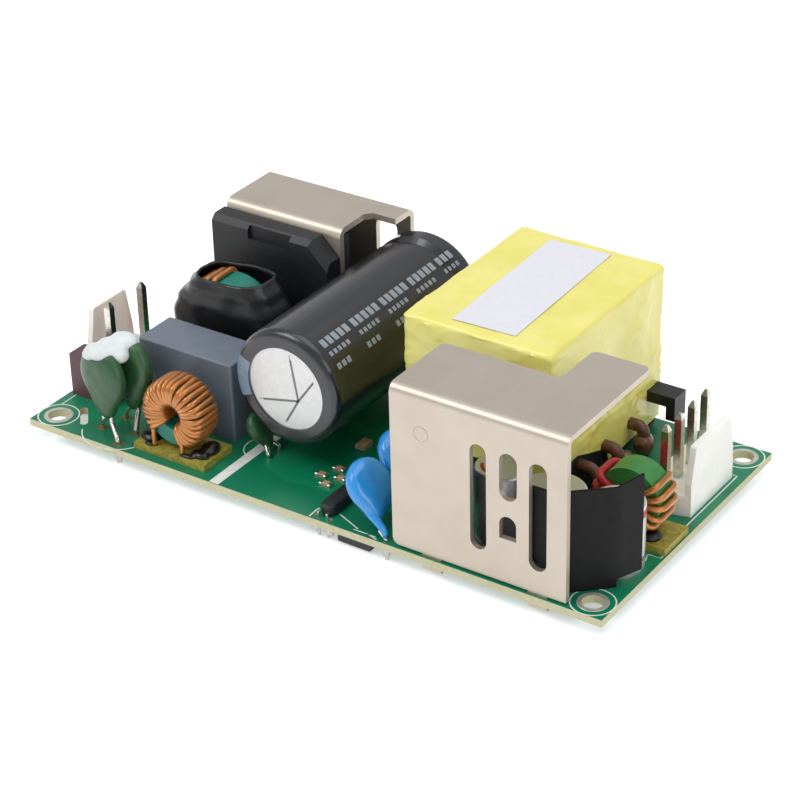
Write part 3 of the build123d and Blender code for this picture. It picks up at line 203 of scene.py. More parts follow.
def board_finish():
    """Green solder mask on both faces, over faint traces, and bare laminate at the cut edges."""
    material = finish_of("solder mask and laminate", "#0f7a4b", 0.3)
    tree = material.node_tree
    shader = tree.nodes["Principled BSDF"]
    place = add_node(tree, "ShaderNodeTexCoord")
    normal = add_node(tree, "ShaderNodeSeparateXYZ", links={0: place.outputs["Normal"]})
    upright = add_node(tree, "ShaderNodeMath", {"operation": "ABSOLUTE"}, {0: normal.outputs["Z"]})
    face = add_node(tree, "ShaderNodeMath", {"operation": "GREATER_THAN", 1: 0.5}, {0: upright.outputs[0]})
    trace_width = 7.0
    stretched = add_node(tree, "ShaderNodeMapping", {"Scale": (0.35, 1.0, 1.0)},
                         {"Vector": place.outputs["Object"]})
    areas = add_node(tree, "ShaderNodeTexVoronoi", {"Scale": 1 / (trace_width * MM), "distance": "CHEBYCHEV",
                                                    "feature": "F1", "Randomness": 0.9},
                     {"Vector": stretched.outputs["Vector"]})
    tone = add_node(tree, "ShaderNodeSeparateColor", links={0: areas.outputs["Color"]})
    copper_below = add_node(tree, "ShaderNodeMapRange", {"From Min": 0.45, "From Max": 0.55},
                            {"Value": tone.outputs[0]})
    traces = add_node(tree, "ShaderNodeMix",
                      {"data_type": "RGBA", 6: linear("#0b7350"), 7: linear("#0e7d56")},
                      {0: copper_below.outputs["Result"]})
    weave_pitch = 0.35
    weave = add_node(tree, "ShaderNodeTexNoise", {"Scale": 1 / (weave_pitch * MM), "Detail": 2.0},
                     {"Vector": place.outputs["Object"]})
    laminate = add_node(tree, "ShaderNodeMix",
                        {"data_type": "RGBA", 6: linear("#d3cfae"), 7: linear("#b8b48e")},
                        {0: weave.outputs["Fac"]})
    colour = add_node(tree, "ShaderNodeMix", {"data_type": "RGBA"},
                      {0: face.outputs[0], 6: laminate.outputs[2], 7: traces.outputs[2]})
    tree.links.new(colour.outputs[2], shader.inputs["Base Color"])
    rough = add_node(tree, "ShaderNodeMapRange", {"To Min": 0.7, "To Max": 0.3}, {"Value": face.outputs[0]})
    tree.links.new(rough.outputs["Result"], shader.inputs["Roughness"])
    relief = add_node(tree, "ShaderNodeBump", {"Distance": 0.03 * MM, "Strength": 0.6},
                      {"Height": copper_below.outputs["Result"]})
    tree.links.new(relief.outputs["Normal"], shader.inputs["Normal"])
    return material


BOARD = board_finish()
FINISHES = {
    "circuit_board": BOARD,
    "mains_connector_housing": NYLON,
    "mains_connector_pins": TINNED,
    "output_connector_housing": NYLON,
    "output_connector_pins": TINNED,
    "fuse": MAROON,
    "fuse_leads": TINNED,
    "inrush_limiter_1": GREEN_DIP,
    "inrush_limiter_2": GREEN_DIP,
    "inrush_limiter_leads": TINNED,
    "silicone_bridge": SILICONE,
    "film_capacitor": GREY_BOX,
    "film_capacitor_leads": TINNED,
    "input_choke_core": TEAL_CORE,
    "input_choke_winding": COPPER,
    "input_choke_plate": FIBRE,
    "mode_choke_core": TEAL_CORE,
    "mode_choke_windings": COPPER,
    "mode_choke_sleeve": SHRINK,
    "bridge_rectifier": EPOXY,
    "bridge_rectifier_leads": TINNED,
    "rear_heatsink": NICKEL,
    "power_transistor_1": EPOXY,
    "power_transistor_2": EPOXY,
    "power_transistor_leads": TINNED,
    "bulk_capacitor_can": CAN,
    "bulk_capacitor_sleeve": FILM_SLEEVE,
    "bulk_capacitor_seal": RUBBER,
    "bulk_capacitor_leads": TINNED,
    "transformer_core": FERRITE,
    "transformer_bobbin": EPOXY,
    "transformer_winding": COPPER,
    "transformer_wrap": TAPE,
    "transformer_label": PAPER,
    "transformer_pins": TINNED,
    "secondary_wires": BROWN_WIRE,
    "front_heatsink": NICKEL,
    "output_rectifier": EPOXY,
    "output_rectifier_leads": TINNED,
    "package_studs": NICKEL,
    "package_nuts": ZINC,
    "blue_capacitor_1": BLUE_DIP,
    "blue_capacitor_2": BLUE_DIP,
    "blue_capacitor_leads": TINNED,
    "optocoupler": EPOXY,
    "optocoupler_legs": TINNED,
    "output_capacitor_1": CAN,
    "output_capacitor_2": CAN,
    "output_capacitor_3": CAN,
    "output_capacitor_leads": TINNED,
    "insulation_barrier": SHEET,
    "output_choke_core": GREEN_CORE,
    "output_choke_red_winding": RED_WIRE,
    "output_choke_copper_winding": COPPER,
    "output_choke_plate": FIBRE,
    "underside_diode": EPOXY,
    "underside_controller": EPOXY,
    "underside_chips": CERAMIC,
    "solder_joints": SOLDER,
}
for node_name, material in FINISHES.items():
    NODES[node_name].data.materials.clear()
    NODES[node_name].data.materials.append(material)


def look_camera():
    """The camera at the photograph's angle and lens."""
    azimuth, elevation, roll = map(radians, (CAMERA_AZIMUTH, CAMERA_ELEVATION, CAMERA_ROLL))
    back = Vector((sin(azimuth) * cos(elevation), -cos(azimuth) * cos(elevation), sin(elevation)))
    right = Vector((0, 0, 1)).cross(back).normalized()
    up = back.cross(right)
    side = right * cos(roll) + up * sin(roll)
    over = up * cos(roll) - right * sin(roll)
    camera = bpy.data.objects.new("camera", bpy.data.cameras.new("camera"))
    bpy.context.scene.collection.objects.link(camera)
    camera.data.lens = CAMERA_LENS
    camera.data.sensor_width = 36
    camera.data.clip_start = 0.01
    camera.data.clip_end = 20
    place = (Vector(CAMERA_TARGET) + back * CAMERA_DISTANCE) * MM
    camera.matrix_world = Matrix.Translation(place) @ Matrix((side, over, back)).transposed().to_4x4()
    bpy.context.scene.camera = camera


def studio():
    """A pale floor, a soft gradient all round and three soft lamps."""
    scene = bpy.context.scene
    scene.view_settings.view_transform = "Standard"
    floor_mesh = bpy.data.meshes.new("floor")
    reach = 3
    floor_mesh.from_pydata([(x * reach, y * reach, 0) for x, y in ((-1, -1), (1, -1), (1, 1), (-1, 1))], [],
                           [(0, 1, 2, 3)])
    floor = bpy.data.objects.new("floor", floor_mesh)
    scene.collection.objects.link(floor)
    floor.location.z = CAD_BOX[0][2] - 0.05 * MM
    paint = bpy.data.materials.new("pale floor")
    paint.use_nodes = True
    tree = paint.node_tree
    shader = tree.nodes["Principled BSDF"]
    shader.inputs["Base Color"].default_value = linear("#f4f4f4")
    shader.inputs["Roughness"].default_value = 0.9
    shader.inputs["Specular IOR Level"].default_value = 0.1
    path = add_node(tree, "ShaderNodeLightPath")
    seen = add_node(tree, "ShaderNodeMath", {"operation": "MAXIMUM"},
                    {0: path.outputs["Is Camera Ray"], 1: path.outputs["Is Glossy Ray"]})
    seen_too = add_node(tree, "ShaderNodeMath", {"operation": "MAXIMUM"},
                        {0: seen.outputs[0], 1: path.outputs["Is Transmission Ray"]})
    lift = add_node(tree, "ShaderNodeMath", {"operation": "MULTIPLY", 1: 0.45}, {0: seen_too.outputs[0]})
    glow = add_node(tree, "ShaderNodeEmission", {"Color": (1, 1, 1, 1)}, {"Strength": lift.outputs[0]})
    both = add_node(tree, "ShaderNodeAddShader", links={0: shader.outputs[0], 1: glow.outputs[0]})
    tree.links.new(both.outputs[0], tree.nodes["Material Output"].inputs["Surface"])
    floor_mesh.materials.append(paint)

    world = bpy.data.worlds.new("studio")
    scene.world = world
    world.use_nodes = True
    tree = world.node_tree
    place = add_node(tree, "ShaderNodeTexCoord")
    height = add_node(tree, "ShaderNodeSeparateXYZ", links={0: place.outputs["Generated"]})
    ramp = add_node(tree, "ShaderNodeValToRGB", links={0: height.outputs["Z"]})
    ramp.color_ramp.elements[0].position = 0.0
    ramp.color_ramp.elements[0].color = (0.86, 0.86, 0.86, 1)
    ramp.color_ramp.elements[1].position = 0.7
    ramp.color_ramp.elements[1].color = (0.6, 0.61, 0.64, 1)
    tree.links.new(ramp.outputs["Color"], tree.nodes["Background"].inputs["Color"])
    tree.nodes["Background"].inputs["Strength"].default_value = 0.9

    for name, spot, size, power in (("key lamp", (-0.5, -0.55, 0.9), 0.6, 5.1),
                                    ("top lamp", (0.1, 0.2, 1.0), 0.9, 3.9),
                                    ("right lamp", (0.8, -0.2, 0.5), 0.5, 1.6)):
        lamp = bpy.data.objects.new(name, bpy.data.lights.new(name, "AREA"))
        lamp.data.size = size
        lamp.data.energy = power
        lamp.location = spot
        lamp.rotation_mode = "QUATERNION"
        lamp.rotation_quaternion = (Vector(spot) - Vector((0, 0, 0.01))).to_track_quat("Z", "Y")
        scene.collection.objects.link(lamp)


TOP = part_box("circuit_board")[1].z / MM


def joined(*shapes):
    """Several (corners, faces) shapes as one."""
    corners, faces = [], []
    for more_corners, more_faces in shapes:
        faces += [[index + len(corners) for index in face] for face in more_faces]
        corners += more_corners
    return corners, faces


def add_piece(name, shape, finish, nodes=(), sharp=38.0):
    """A piece made of corners in millimetres, seated on the supply, in place of the nodes it redraws."""
    mesh = bpy.data.meshes.new(name)
    mesh.from_pydata([tuple(Vector(corner) * MM) for corner in shape[0]], [], shape[1])
    work = bmesh.new()
    work.from_mesh(mesh)
    bmesh.ops.recalc_face_normals(work, faces=work.faces)
    work.to_mesh(mesh)
    work.free()
    made = bpy.data.objects.new(name, mesh)
    bpy.context.scene.collection.objects.link(made)
    mesh.materials.append(finish)
    for polygon in mesh.polygons:
        polygon.use_smooth = True
    mesh.set_sharp_from_angle(angle=radians(sharp))
    settle(made, nodes)
    return made


def settle(made, nodes):
    """Seats a finished piece on the supply's one body."""
    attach(made, "root")
    if nodes:
        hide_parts(*nodes)


def bake_modifiers(made):
    """Makes the piece's modifiers part of its mesh."""
    evaluated = made.evaluated_get(bpy.context.evaluated_depsgraph_get())
    mesh = bpy.data.meshes.new_from_object(evaluated)
    made.modifiers.clear()
    made.data = mesh
    for polygon in mesh.polygons:
        polygon.use_smooth = True


def tube(path, radius, sides=10, closed=False):
    """A round wire along a path; radius is one number or one for each point."""
    path = [Vector(point) for point in path]
    count = len(path)
    radii = radius if isinstance(radius, (list, tuple)) else [radius] * count
    corners, faces = [], []
    side = None
    for i, point in enumerate(path):
        before = path[i - 1] if i or closed else point
        after = path[(i + 1) % count] if i < count - 1 or closed else point
        along = (after - before).normalized()
        side = along.orthogonal() if side is None else side - along * side.dot(along)
        side.normalize()
        over = along.cross(side)
        corners += [point + (side * cos(2 * pi * k / sides) + over * sin(2 * pi * k / sides)) * radii[i]
                    for k in range(sides)]
    for i in range(count if closed else count - 1):
        for k in range(sides):
            here, there = i * sides, (i + 1) % count * sides
            faces.append([here + k, here + (k + 1) % sides, there + (k + 1) % sides, there + k])
    if not closed:
        faces.append(list(range(sides))[::-1])
        faces.append([(count - 1) * sides + k for k in range(sides)])
    return corners, faces


def smooth_path(points, steps=6):
    """A Catmull-Rom line through points."""
    points = [Vector(point) for point in points]
    points = [2 * points[0] - points[1]] + points + [2 * points[-1] - points[-2]]
    line = []
    for a, b, c, d in zip(points, points[1:], points[2:], points[3:]):
        for i in range(steps):
            t = i / steps
            line.append(0.5 * (2 * b + (c - a) * t + (2 * a - 5 * b + 4 * c - d) * t ** 2
                               + (3 * b - a - 3 * c + d) * t ** 3))
    return line + [points[-2]]


def grid_faces(rows, columns, closed=True):
    """Faces of a grid of corners, row after row, closed round each row."""
    last = columns if closed else columns - 1
    return [[j * columns + i, j * columns + (i + 1) % columns, (j + 1) * columns + (i + 1) % columns,
             (j + 1) * columns + i] for j in range(rows - 1) for i in range(last)]


def rounded_outline(length, width, corner, spacing):
    """Points round a rectangle with round corners, evenly spaced."""
    line = []
    for quarter in range(4):
        turn = pi / 2 * quarter
        centre_x = (length / 2 - corner) * (1 if quarter in (0, 3) else -1)
        centre_y = (width / 2 - corner) * (1 if quarter in (0, 1) else -1)
        for i in range(7):
            angle = turn + pi / 2 * i / 6
            line.append(Vector((centre_x + corner * cos(angle), centre_y + corner * sin(angle))))
    even = []
    for a, b in zip(line, line[1:] + line[:1]):
        parts = max(1, round((b - a).length / spacing))
        even += [a.lerp(b, i / parts) for i in range(parts)]
    return even


def wound_turns(centre, radius, bore, height, wire, start, turns, step, seed, sides=10):
    """Separate turns of wire round a ring that stands on its rim, each a little out of line."""
    dice = random.Random(seed)
    turn_loop = rounded_outline(radius - bore + wire, height + wire, 1.25, 0.9)
    middle = (radius + bore) / 2
    loops = []
    for i in range(turns):
        angle = radians(start + (i + 0.5) * step + dice.uniform(-0.12, 0.12) * step)
        slant = dice.uniform(-0.05, 0.05)
        lift = dice.uniform(0, 0.08)
        path = []
        for across, along in turn_loop:
            reach = middle + across * (1 + lift / middle)
            turned = angle + slant * along / height
            path.append((centre[0] + reach * cos(turned), centre[1] + along, centre[2] + reach * sin(turned)))
        loops.append(tube(path, wire / 2, sides, closed=True))
    return joined(*loops)


def ring_lead(x, y, centre, radius, bore, wire):
    """A winding's end, from under the board up to its ring; the output choke's ends bend over to it."""
    middle = (radius + bore) / 2
    top_x = x + (OUTPUT_SHIFT if centre is OUTPUT_CENTRE else 0.0)
    below, bend = -2.0, TOP + 1.2
    height = centre[2] - sqrt(middle ** 2 - min(middle, abs(top_x - centre[0])) ** 2)
    return tube([(x, y, below), (x, y, bend), (top_x, y, (bend + height) / 2), (top_x, y, height)], wire / 2)


# Wound rings: separate turns of round wire, with gaps that open towards the rim
RING_OUTER, RING_BORE, RING_HEIGHT = 4.8, 2.3, 4.2
PLATE_THICKNESS, PLATE_GAP, WIRE_ROOM = 1.1, 0.3, 0.75
RING_RISE = PLATE_THICKNESS + PLATE_GAP + RING_OUTER + WIRE_ROOM
# The photograph's output choke stands this much further right and lower than the CAD's
OUTPUT_SHIFT, OUTPUT_DROP = 2.5, 0.3
INPUT_CENTRE = (-24.75, -20.2, TOP + RING_RISE)
OUTPUT_CENTRE = (43.9, -3.9, TOP + RING_RISE - OUTPUT_DROP)
INPUT_RING = (INPUT_CENTRE, RING_OUTER, RING_BORE)
OUTPUT_RING = (OUTPUT_CENTRE, RING_OUTER, RING_BORE)
add_piece("input_choke_turns", joined(
    wound_turns(*INPUT_RING, RING_HEIGHT, 0.9, 288.0, 28, 10.5, 3),
    *[ring_lead(x, -22.675, *INPUT_RING, 0.75) for x in (-28.15, -22.85)]),
    COPPER, ("input_choke_winding",), sharp=85)
add_piece("output_choke_red_turns", joined(
    wound_turns(*OUTPUT_RING, RING_HEIGHT, 1.25, 143.0, 4, 20.0, 5),
    *[ring_lead(38.0, y, *OUTPUT_RING, 1.2) for y in (-6.375, -1.425)]),
    RED_WIRE, ("output_choke_red_winding",), sharp=85)
add_piece("output_choke_copper_turns", joined(
    wound_turns(*OUTPUT_RING, RING_HEIGHT, 1.0, -72.0, 6, 20.0, 7),
    *[ring_lead(43.3, y, *OUTPUT_RING, 0.95) for y in (-6.375, -1.425)]),
    COPPER, ("output_choke_copper_winding",), sharp=85)
# Common-mode choke: two windings on one larger ring, raised in its sleeve as in the photograph
MODE_LIFT = 0.9
MODE_CENTRE = (-30.5, 1.0, TOP + 10.9)
MODE_RING = (MODE_CENTRE, 7.2, 3.9)
MODE_HEIGHT, MODE_WIRE = 5.0, 0.95
add_piece("mode_choke_turns", joined(
    wound_turns(*MODE_RING, MODE_HEIGHT, MODE_WIRE, 95.0, 12, 13.0, 11),
    wound_turns(*MODE_RING, MODE_HEIGHT, MODE_WIRE, -75.0, 8, 13.0, 13),
    *[ring_lead(MODE_CENTRE[0] + a * 4.2, MODE_CENTRE[1] + b * 2.9, *MODE_RING, 0.8)
      for a in (-1, 1) for b in (-1, 1)]),
    COPPER, ("mode_choke_windings",), sharp=85)


def shrunk_sleeve():
    """The heat-shrink sleeve: belly over the choke, drawn in at both mouths, with soft folds.

    Each section is rise, length, width and shift along x."""
    sections = ((0.3, 15.0, 7.7, 0.0), (3.5, 17.6, 9.4, 0.0), (7.5, 19.8, 10.0, 0.0), (11.6, 20.4, 10.0, 0.0),
                (14.6, 18.8, 9.8, 0.3), (17.0, 15.6, 8.8, 0.8), (19.2, 12.7, 7.8, 1.0))
    columns, rows = 120, 44
    squareness = 2 / 2.9
    corners = []
    for j in range(rows):
        share = j / (rows - 1)
        height = sections[0][0] + share * (sections[-1][0] - sections[0][0])
        for low, high in zip(sections, sections[1:]):
            if low[0] <= height <= high[0] + 1e-6:
                t = (height - low[0]) / (high[0] - low[0])
                t = t * t * (3 - 2 * t)
                length, width, shift = [low[k] + (high[k] - low[k]) * t for k in (1, 2, 3)]
        for i in range(columns):
            angle = 2 * pi * i / columns
            x = abs(cos(angle)) ** squareness * length / 2 * (1 if cos(angle) > 0 else -1)
            y = abs(sin(angle)) ** squareness * width / 2 * (1 if sin(angle) > 0 else -1)
            rim = 0.8 * share ** 6 * x / length
            spot = Vector((x * 0.32, y * 0.5, height * 0.22 + x * 0.06))
            fold = noise.noise(spot * 0.7) * 0.5 + noise.noise(spot * 1.7 + Vector((7, 3, 1))) * 0.1
            out = Vector((x, y, 0)).normalized() * fold * (0.5 + 0.5 * share)
            corners.append((MODE_CENTRE[0] + shift + x + out.x, MODE_CENTRE[1] + y + out.y,
                            TOP + height + rim + fold * 0.3 * share ** 3))
    made = add_piece("shrunk_sleeve", (corners, grid_faces(rows, columns)), SHRINK,
                     ("mode_choke_sleeve",), sharp=80)
    wall = made.modifiers.new("wall", "SOLIDIFY")
    wall.thickness = 0.45 * MM
    wall.offset = -1
    bake_modifiers(made)


shrunk_sleeve()


def tape_wrap():
    """Tape wound round the transformer and over its top: flat bands with creases and lapped edges."""
    centre_x, centre_y = 19.8, 8.5
    half_x, half_y, rise = 12.5, 16.5, 27.0
    edge = 0.7
    outline = rounded_outline(2 * half_x, 2 * half_y, 0.9, 0.55)
    columns = len(outline)
    side_rows, edge_rows, top_rows = 54, 5, 22
    front_foot, back_foot = 6.8, 1.6
    corners = []

    def crease(x, y, z):
        """How far the film stands off at a spot: fine and coarse waves, and sharp ridges."""
        spot = Vector((x, y, z))
        fine = noise.noise(Vector((x * 0.3, y * 0.3, z * 0.9)))
        coarse = noise.noise(spot * 0.16 + Vector((3, 9, 4)))
        ridge = max(0.0, 1 - abs(noise.noise(spot * 0.42 + Vector((5, 1, 8)))) * 9)
        return 0.22 * coarse + 0.08 * fine + 0.16 * ridge * (0.6 + coarse)

    for j in range(side_rows):
        share = j / (side_rows - 1)
        for point in outline:
            if point.y < 0:
                foot = front_foot if point.y < -8.6 else front_foot - 5.2 * min(1, (point.y + 8.6) / 14)
            else:
                foot = back_foot
            height = foot + share * (rise - edge - foot)
            lap = 0.12 * (1 if height > 18.6 else 0) + 0.10 * (1 if height < 9.5 else 0)
            out = crease(point.x, point.y, height) + lap
            away = Vector((point.x / half_x, point.y / half_y, 0))
            away = Vector((away.x ** 7, away.y ** 7, 0)).normalized()
            corners.append((centre_x + point.x + away.x * (out - 0.15),
                            centre_y + point.y + away.y * (out - 0.15), TOP + height))
    for j in range(1, edge_rows + 1):
        angle = pi / 2 * j / edge_rows
        for point in outline:
            out = crease(point.x, point.y, rise)
            inset = edge * (1 - cos(angle))
            x = point.x * (1 - inset / half_x)
            y = point.y * (1 - inset / half_y)
            corners.append((centre_x + x, centre_y + y,
                            TOP + rise - edge * (1 - sin(angle)) + out * sin(angle) - 0.1))
    for j in range(1, top_rows + 1):
        share = 1 - j / top_rows
        for point in outline:
            x = point.x * (1 - edge / half_x) * share
            y = point.y * (1 - edge / half_y) * (0.42 + 0.58 * share)
            out = crease(x * 1.02, y, rise)
            under_label = abs(x + 0.4) < 6.2
            lift = min(0.04, out * 0.4) if under_label else out * 0.7
            corners.append((centre_x + x, centre_y + y, TOP + 26.93 + lift))
    add_piece("tape_wrap", (corners, grid_faces(len(corners) // columns, columns)), TAPE,
              ("transformer_wrap",), sharp=50)


tape_wrap()


def pillow(outline, middle, thickness, power=2.6, rings=12):
    """A dipped disc: an outline filled out to a round edge, in its own plane."""
    columns = len(outline)
    corners = []
    for side in (1, -1):
        for j in range(rings):
            share = sin(pi / 2 * (j + 1) / rings) if side == 1 else sin(pi / 2 * (rings - 1 - j) / rings)
            bulge = side * thickness / 2 * (1 - share ** power) ** (1 / power)
            for point in outline:
                spot = middle + (point - middle) * max(share, 0.02)
                corners.append((spot.x, spot.y, bulge))
    faces = grid_faces(2 * rings, columns)
    faces.append(list(range(columns))[::-1])
    faces.append([(2 * rings - 1) * columns + i for i in range(columns)])
    return corners, faces


def hull_outline(circles, count=64):
    """The outline round several circles, each (x, y, radius), as evenly spaced points."""
    rim = []
    for x, y, radius in circles:
        rim += [Vector((x + radius * cos(2 * pi * k / 48), y + radius * sin(2 * pi * k / 48)))
                for k in range(48)]
    rim.sort(key=lambda p: (p.x, p.y))
    chain = []
    for sweep in (rim, rim[::-1]):
        part = []
        for p in sweep:
            while len(part) > 1 and (part[-1] - part[-2]).cross(p - part[-1]) <= 0:
                part.pop()
            part.append(p)
        chain += part[:-1]
    lengths = [(b - a).length for a, b in zip(chain, chain[1:] + chain[:1])]
    whole = sum(lengths)
    even = []
    for i in range(count):
        goal = whole * i / count
        for k, length in enumerate(lengths):
            if goal <= length:
                even.append(chain[k].lerp(chain[(k + 1) % len(chain)], goal / length))
                break
            goal -= length
    return even


def placed(shape, origin, across, up):
    """A shape from its own plane into the supply's frame, with small lumps from the dip."""
    origin, across, up = Vector(origin), Vector(across).normalized(), Vector(up).normalized()
    out = across.cross(up)
    corners = []
    for u, v, w in shape[0]:
        lump = 1 + 0.03 * noise.noise(Vector((u, v, w)) * 0.5 + origin)
        corners.append(origin + across * u * lump + up * v * lump + out * w * (2 * lump - 1))
    return corners, shape[1]


# Inrush discs: dipped teardrops that narrow to a neck
DISC_ACROSS = (cos(radians(-10.0)), sin(radians(-10.0)), 0)
for number, (x, y, rise, neck) in enumerate(((-37.6, -22.3, 10.1, 5.7), (-35.4, -18.5, 10.8, 6.1)), 1):
    teardrop = pillow(hull_outline(((0, 0, 4.65), (0.3, -neck, 1.5))), Vector((0, 0)), 3.4)
    add_piece(f"inrush_disc_{number}", placed(teardrop, (x, y, TOP + rise), DISC_ACROSS, (0, 0, 1)), GREEN_DIP,
              (f"inrush_limiter_{number}",), sharp=80)
# Third, small disc that leans left under the bulk capacitor's rim
SMALL_X, SMALL_Y = -12.5, -13.9
SMALL_LEAN = Vector((-sin(radians(30)), 0, cos(radians(30))))
small_disc = pillow(hull_outline(((0, 0, 2.4), (0, -2.6, 0.9))), Vector((0, 0)), 2.2)
add_piece("small_disc", placed(small_disc, Vector((SMALL_X, SMALL_Y, TOP)) + SMALL_LEAN * 4.6, (0, 1, 0),
                               SMALL_LEAN), GREEN_DIP, sharp=80)
add_piece("small_disc_leads", joined(*[tube(smooth_path(
    [(SMALL_X, SMALL_Y + side * 1.3, TOP - 0.1), (SMALL_X, SMALL_Y + side * 1.3, TOP + 0.7),
     Vector((SMALL_X, SMALL_Y + side * 0.55, TOP)) + SMALL_LEAN * 2.0]), 0.35) for side in (-1, 1)]),
    TINNED)

# Blue suppression discs: glossy teardrops that lean left, with coated legs
BLUE_LEAN = Vector((-sin(radians(40)), 0, cos(radians(40))))
for number, (y, reach) in enumerate(((-20.9, 7.4), (-12.2, 8.0)), 1):
    foot = Vector((15.0, y, TOP))
    teardrop = pillow(hull_outline(((0, 0, 4.15), (-2.5, 3.6 - reach, 1.0))), Vector((0, 0)), 3.5)
    legs = [tube(smooth_path([foot + Vector((0, side * 3.6, 0.4)), foot + Vector((-0.3, side * 3.55, 1.6)),
                              foot + Vector((0, side * 3.1, 0)) + BLUE_LEAN * 4.4]),
                 [0.35 + 0.4 * i / 12 for i in range(13)]) for side in (-1, 1)]
    add_piece(f"blue_disc_{number}", joined(
        placed(teardrop, foot + BLUE_LEAN * reach, (0, 1, 0), BLUE_LEAN), *legs), BLUE_DIP,
        (f"blue_capacitor_{number}",), sharp=80)


def blob(name, balls, finish, nodes=(), voxel=0.22):
    """Soft matter that ran together: rounded lumps, each (x, y, rise, three radii), merged and smoothed."""
    work = bmesh.new()
    for x, y, rise, across, along, height in balls:
        place = Matrix.Translation(Vector((x, y, TOP + rise)) * MM) @ Matrix.Diagonal(
            (across * MM, along * MM, height * MM, 1))
        bmesh.ops.create_icosphere(work, subdivisions=3, radius=1, matrix=place)
    mesh = bpy.data.meshes.new(name)
    work.to_mesh(mesh)
    work.free()
    made = bpy.data.objects.new(name, mesh)
    bpy.context.scene.collection.objects.link(made)
    mesh.materials.append(finish)
    merge = made.modifiers.new("merge", "REMESH")
    merge.mode = "VOXEL"
    merge.voxel_size = voxel * MM
    soften = made.modifiers.new("soften", "SMOOTH")
    soften.iterations = 8
    bake_modifiers(made)
    made.data.materials.clear()
    made.data.materials.append(finish)
    settle(made, nodes)


# Silicone over the tops of the two discs, a saddle that was pressed on while soft
blob("silicone_saddle", ((-37.9, -22.4, 14.1, 2.5, 1.7, 1.3), (-36.9, -20.4, 14.3, 2.7, 2.3, 1.3),
                         (-35.9, -18.7, 14.9, 2.4, 1.7, 1.3), (-39.4, -22.6, 13.5, 1.3, 1.4, 1.0),
                         (-35.0, -20.9, 13.6, 1.3, 1.5, 1.2)),
     SILICONE, ("silicone_bridge",))
# Black glue that holds the rings to their plates
blob("input_choke_glue", ((-29.9, -21.4, 1.4, 1.7, 1.2, 0.8), (-29.2, -19.6, 1.6, 1.5, 1.8, 1.1),
                          (-28.9, -22.9, 1.2, 1.0, 0.6, 0.4), (-20.1, -21.8, 1.4, 1.6, 1.0, 0.7),
                          (-19.7, -19.8, 1.6, 1.4, 1.8, 1.0), (-21.8, -23.0, 1.2, 1.4, 0.5, 0.4)),
     GLUE)
blob("output_choke_glue", ((37.2, -4.6, 1.4, 1.3, 1.8, 1.0), (47.6, -5.4, 1.4, 1.3, 1.5, 0.9),
                           (46.4, -6.4, 1.3, 1.2, 0.8, 0.8), (42.6, -6.6, 1.3, 2.0, 0.7, 0.6)),
     GLUE)


def reshaped(name, nodes, finish, move):
    """Copies of nodes with their corners moved a little, as one piece that stands for them."""
    work = bmesh.new()
    for node in nodes:
        work.from_mesh(NODES[node].data)
    for corner in work.verts:
        corner.co = Vector(move(*(corner.co / MM))) * MM
    mesh = bpy.data.meshes.new(name)
    work.to_mesh(mesh)
    work.free()
    made = bpy.data.objects.new(name, mesh)
    bpy.context.scene.collection.objects.link(made)
    mesh.materials.clear()
    mesh.materials.append(finish)
    mesh.set_sharp_from_angle(angle=radians(38))
    settle(made, nodes)


def front_sink_move(x, y, z):
    """The photograph's flange reaches 1 mm further back and its top is 0.5 mm lower."""
    shift = 0.0
    if z > TOP + 24 and y > -20.0:
        shift = 1.0 * min(1.0, (y + 20.0) / 6.2) if y < -12.0 else max(0.0, (-2.4 - y) / 9.9)
    return x, y + shift, z - (0.5 if z > TOP + 22 else 0.0)


def rear_sink_move(x, y, z):
    """The photograph's notch has a nearly square inner corner and a slightly longer right end."""
    if abs(x + 17.6) < 0.3 and abs(y - 17.6) < 0.3:
        y = 18.7
    if abs(x + 15.4) < 0.3 and abs(y - 19.8) < 0.3:
        x = -16.6
    return x + (0.6 if x > -13.3 else 0.0), y, z


# The photograph's bulk capacitor sits this much further forward and lower than the CAD's
BULK_FORWARD, BULK_DOWN = 0.7, 0.3


def bulk_move(x, y, z):
    """The capacitor in its place of the photograph."""
    return x, y - BULK_FORWARD, z - BULK_DOWN


def output_choke_move(x, y, z):
    """The photograph's output choke stands a little further right."""
    return x + OUTPUT_SHIFT, y, z - (OUTPUT_DROP if z > TOP + 1.2 else 0.0)


def output_header_move(x, y, z):
    """The base's outer corners are drawn in to the ends of the wall."""
    if x > 46.8 and z < TOP + 3.6:
        y = max(3.3, min(16.2, y))
    return x, y, z


def mode_core_move(x, y, z):
    """The ring sits as high as its winding."""
    return x, y, z + MODE_LIFT


reshaped("output_ring", ("output_choke_core",), GREEN_CORE, output_choke_move)
reshaped("output_plate", ("output_choke_plate",), FIBRE, output_choke_move)
reshaped("output_header", ("output_connector_housing",), NYLON, output_header_move)
reshaped("mode_ring", ("mode_choke_core",), TEAL_CORE, mode_core_move)
reshaped("slotted_heatsink", ("front_heatsink",), NICKEL, front_sink_move)
reshaped("channel_heatsink", ("rear_heatsink",), NICKEL, rear_sink_move)
reshaped("bulk_can", ("bulk_capacitor_can",), CAN, bulk_move)
reshaped("bulk_film", ("bulk_capacitor_sleeve",), FILM_SLEEVE, bulk_move)
reshaped("bulk_seal", ("bulk_capacitor_seal",), RUBBER, bulk_move)


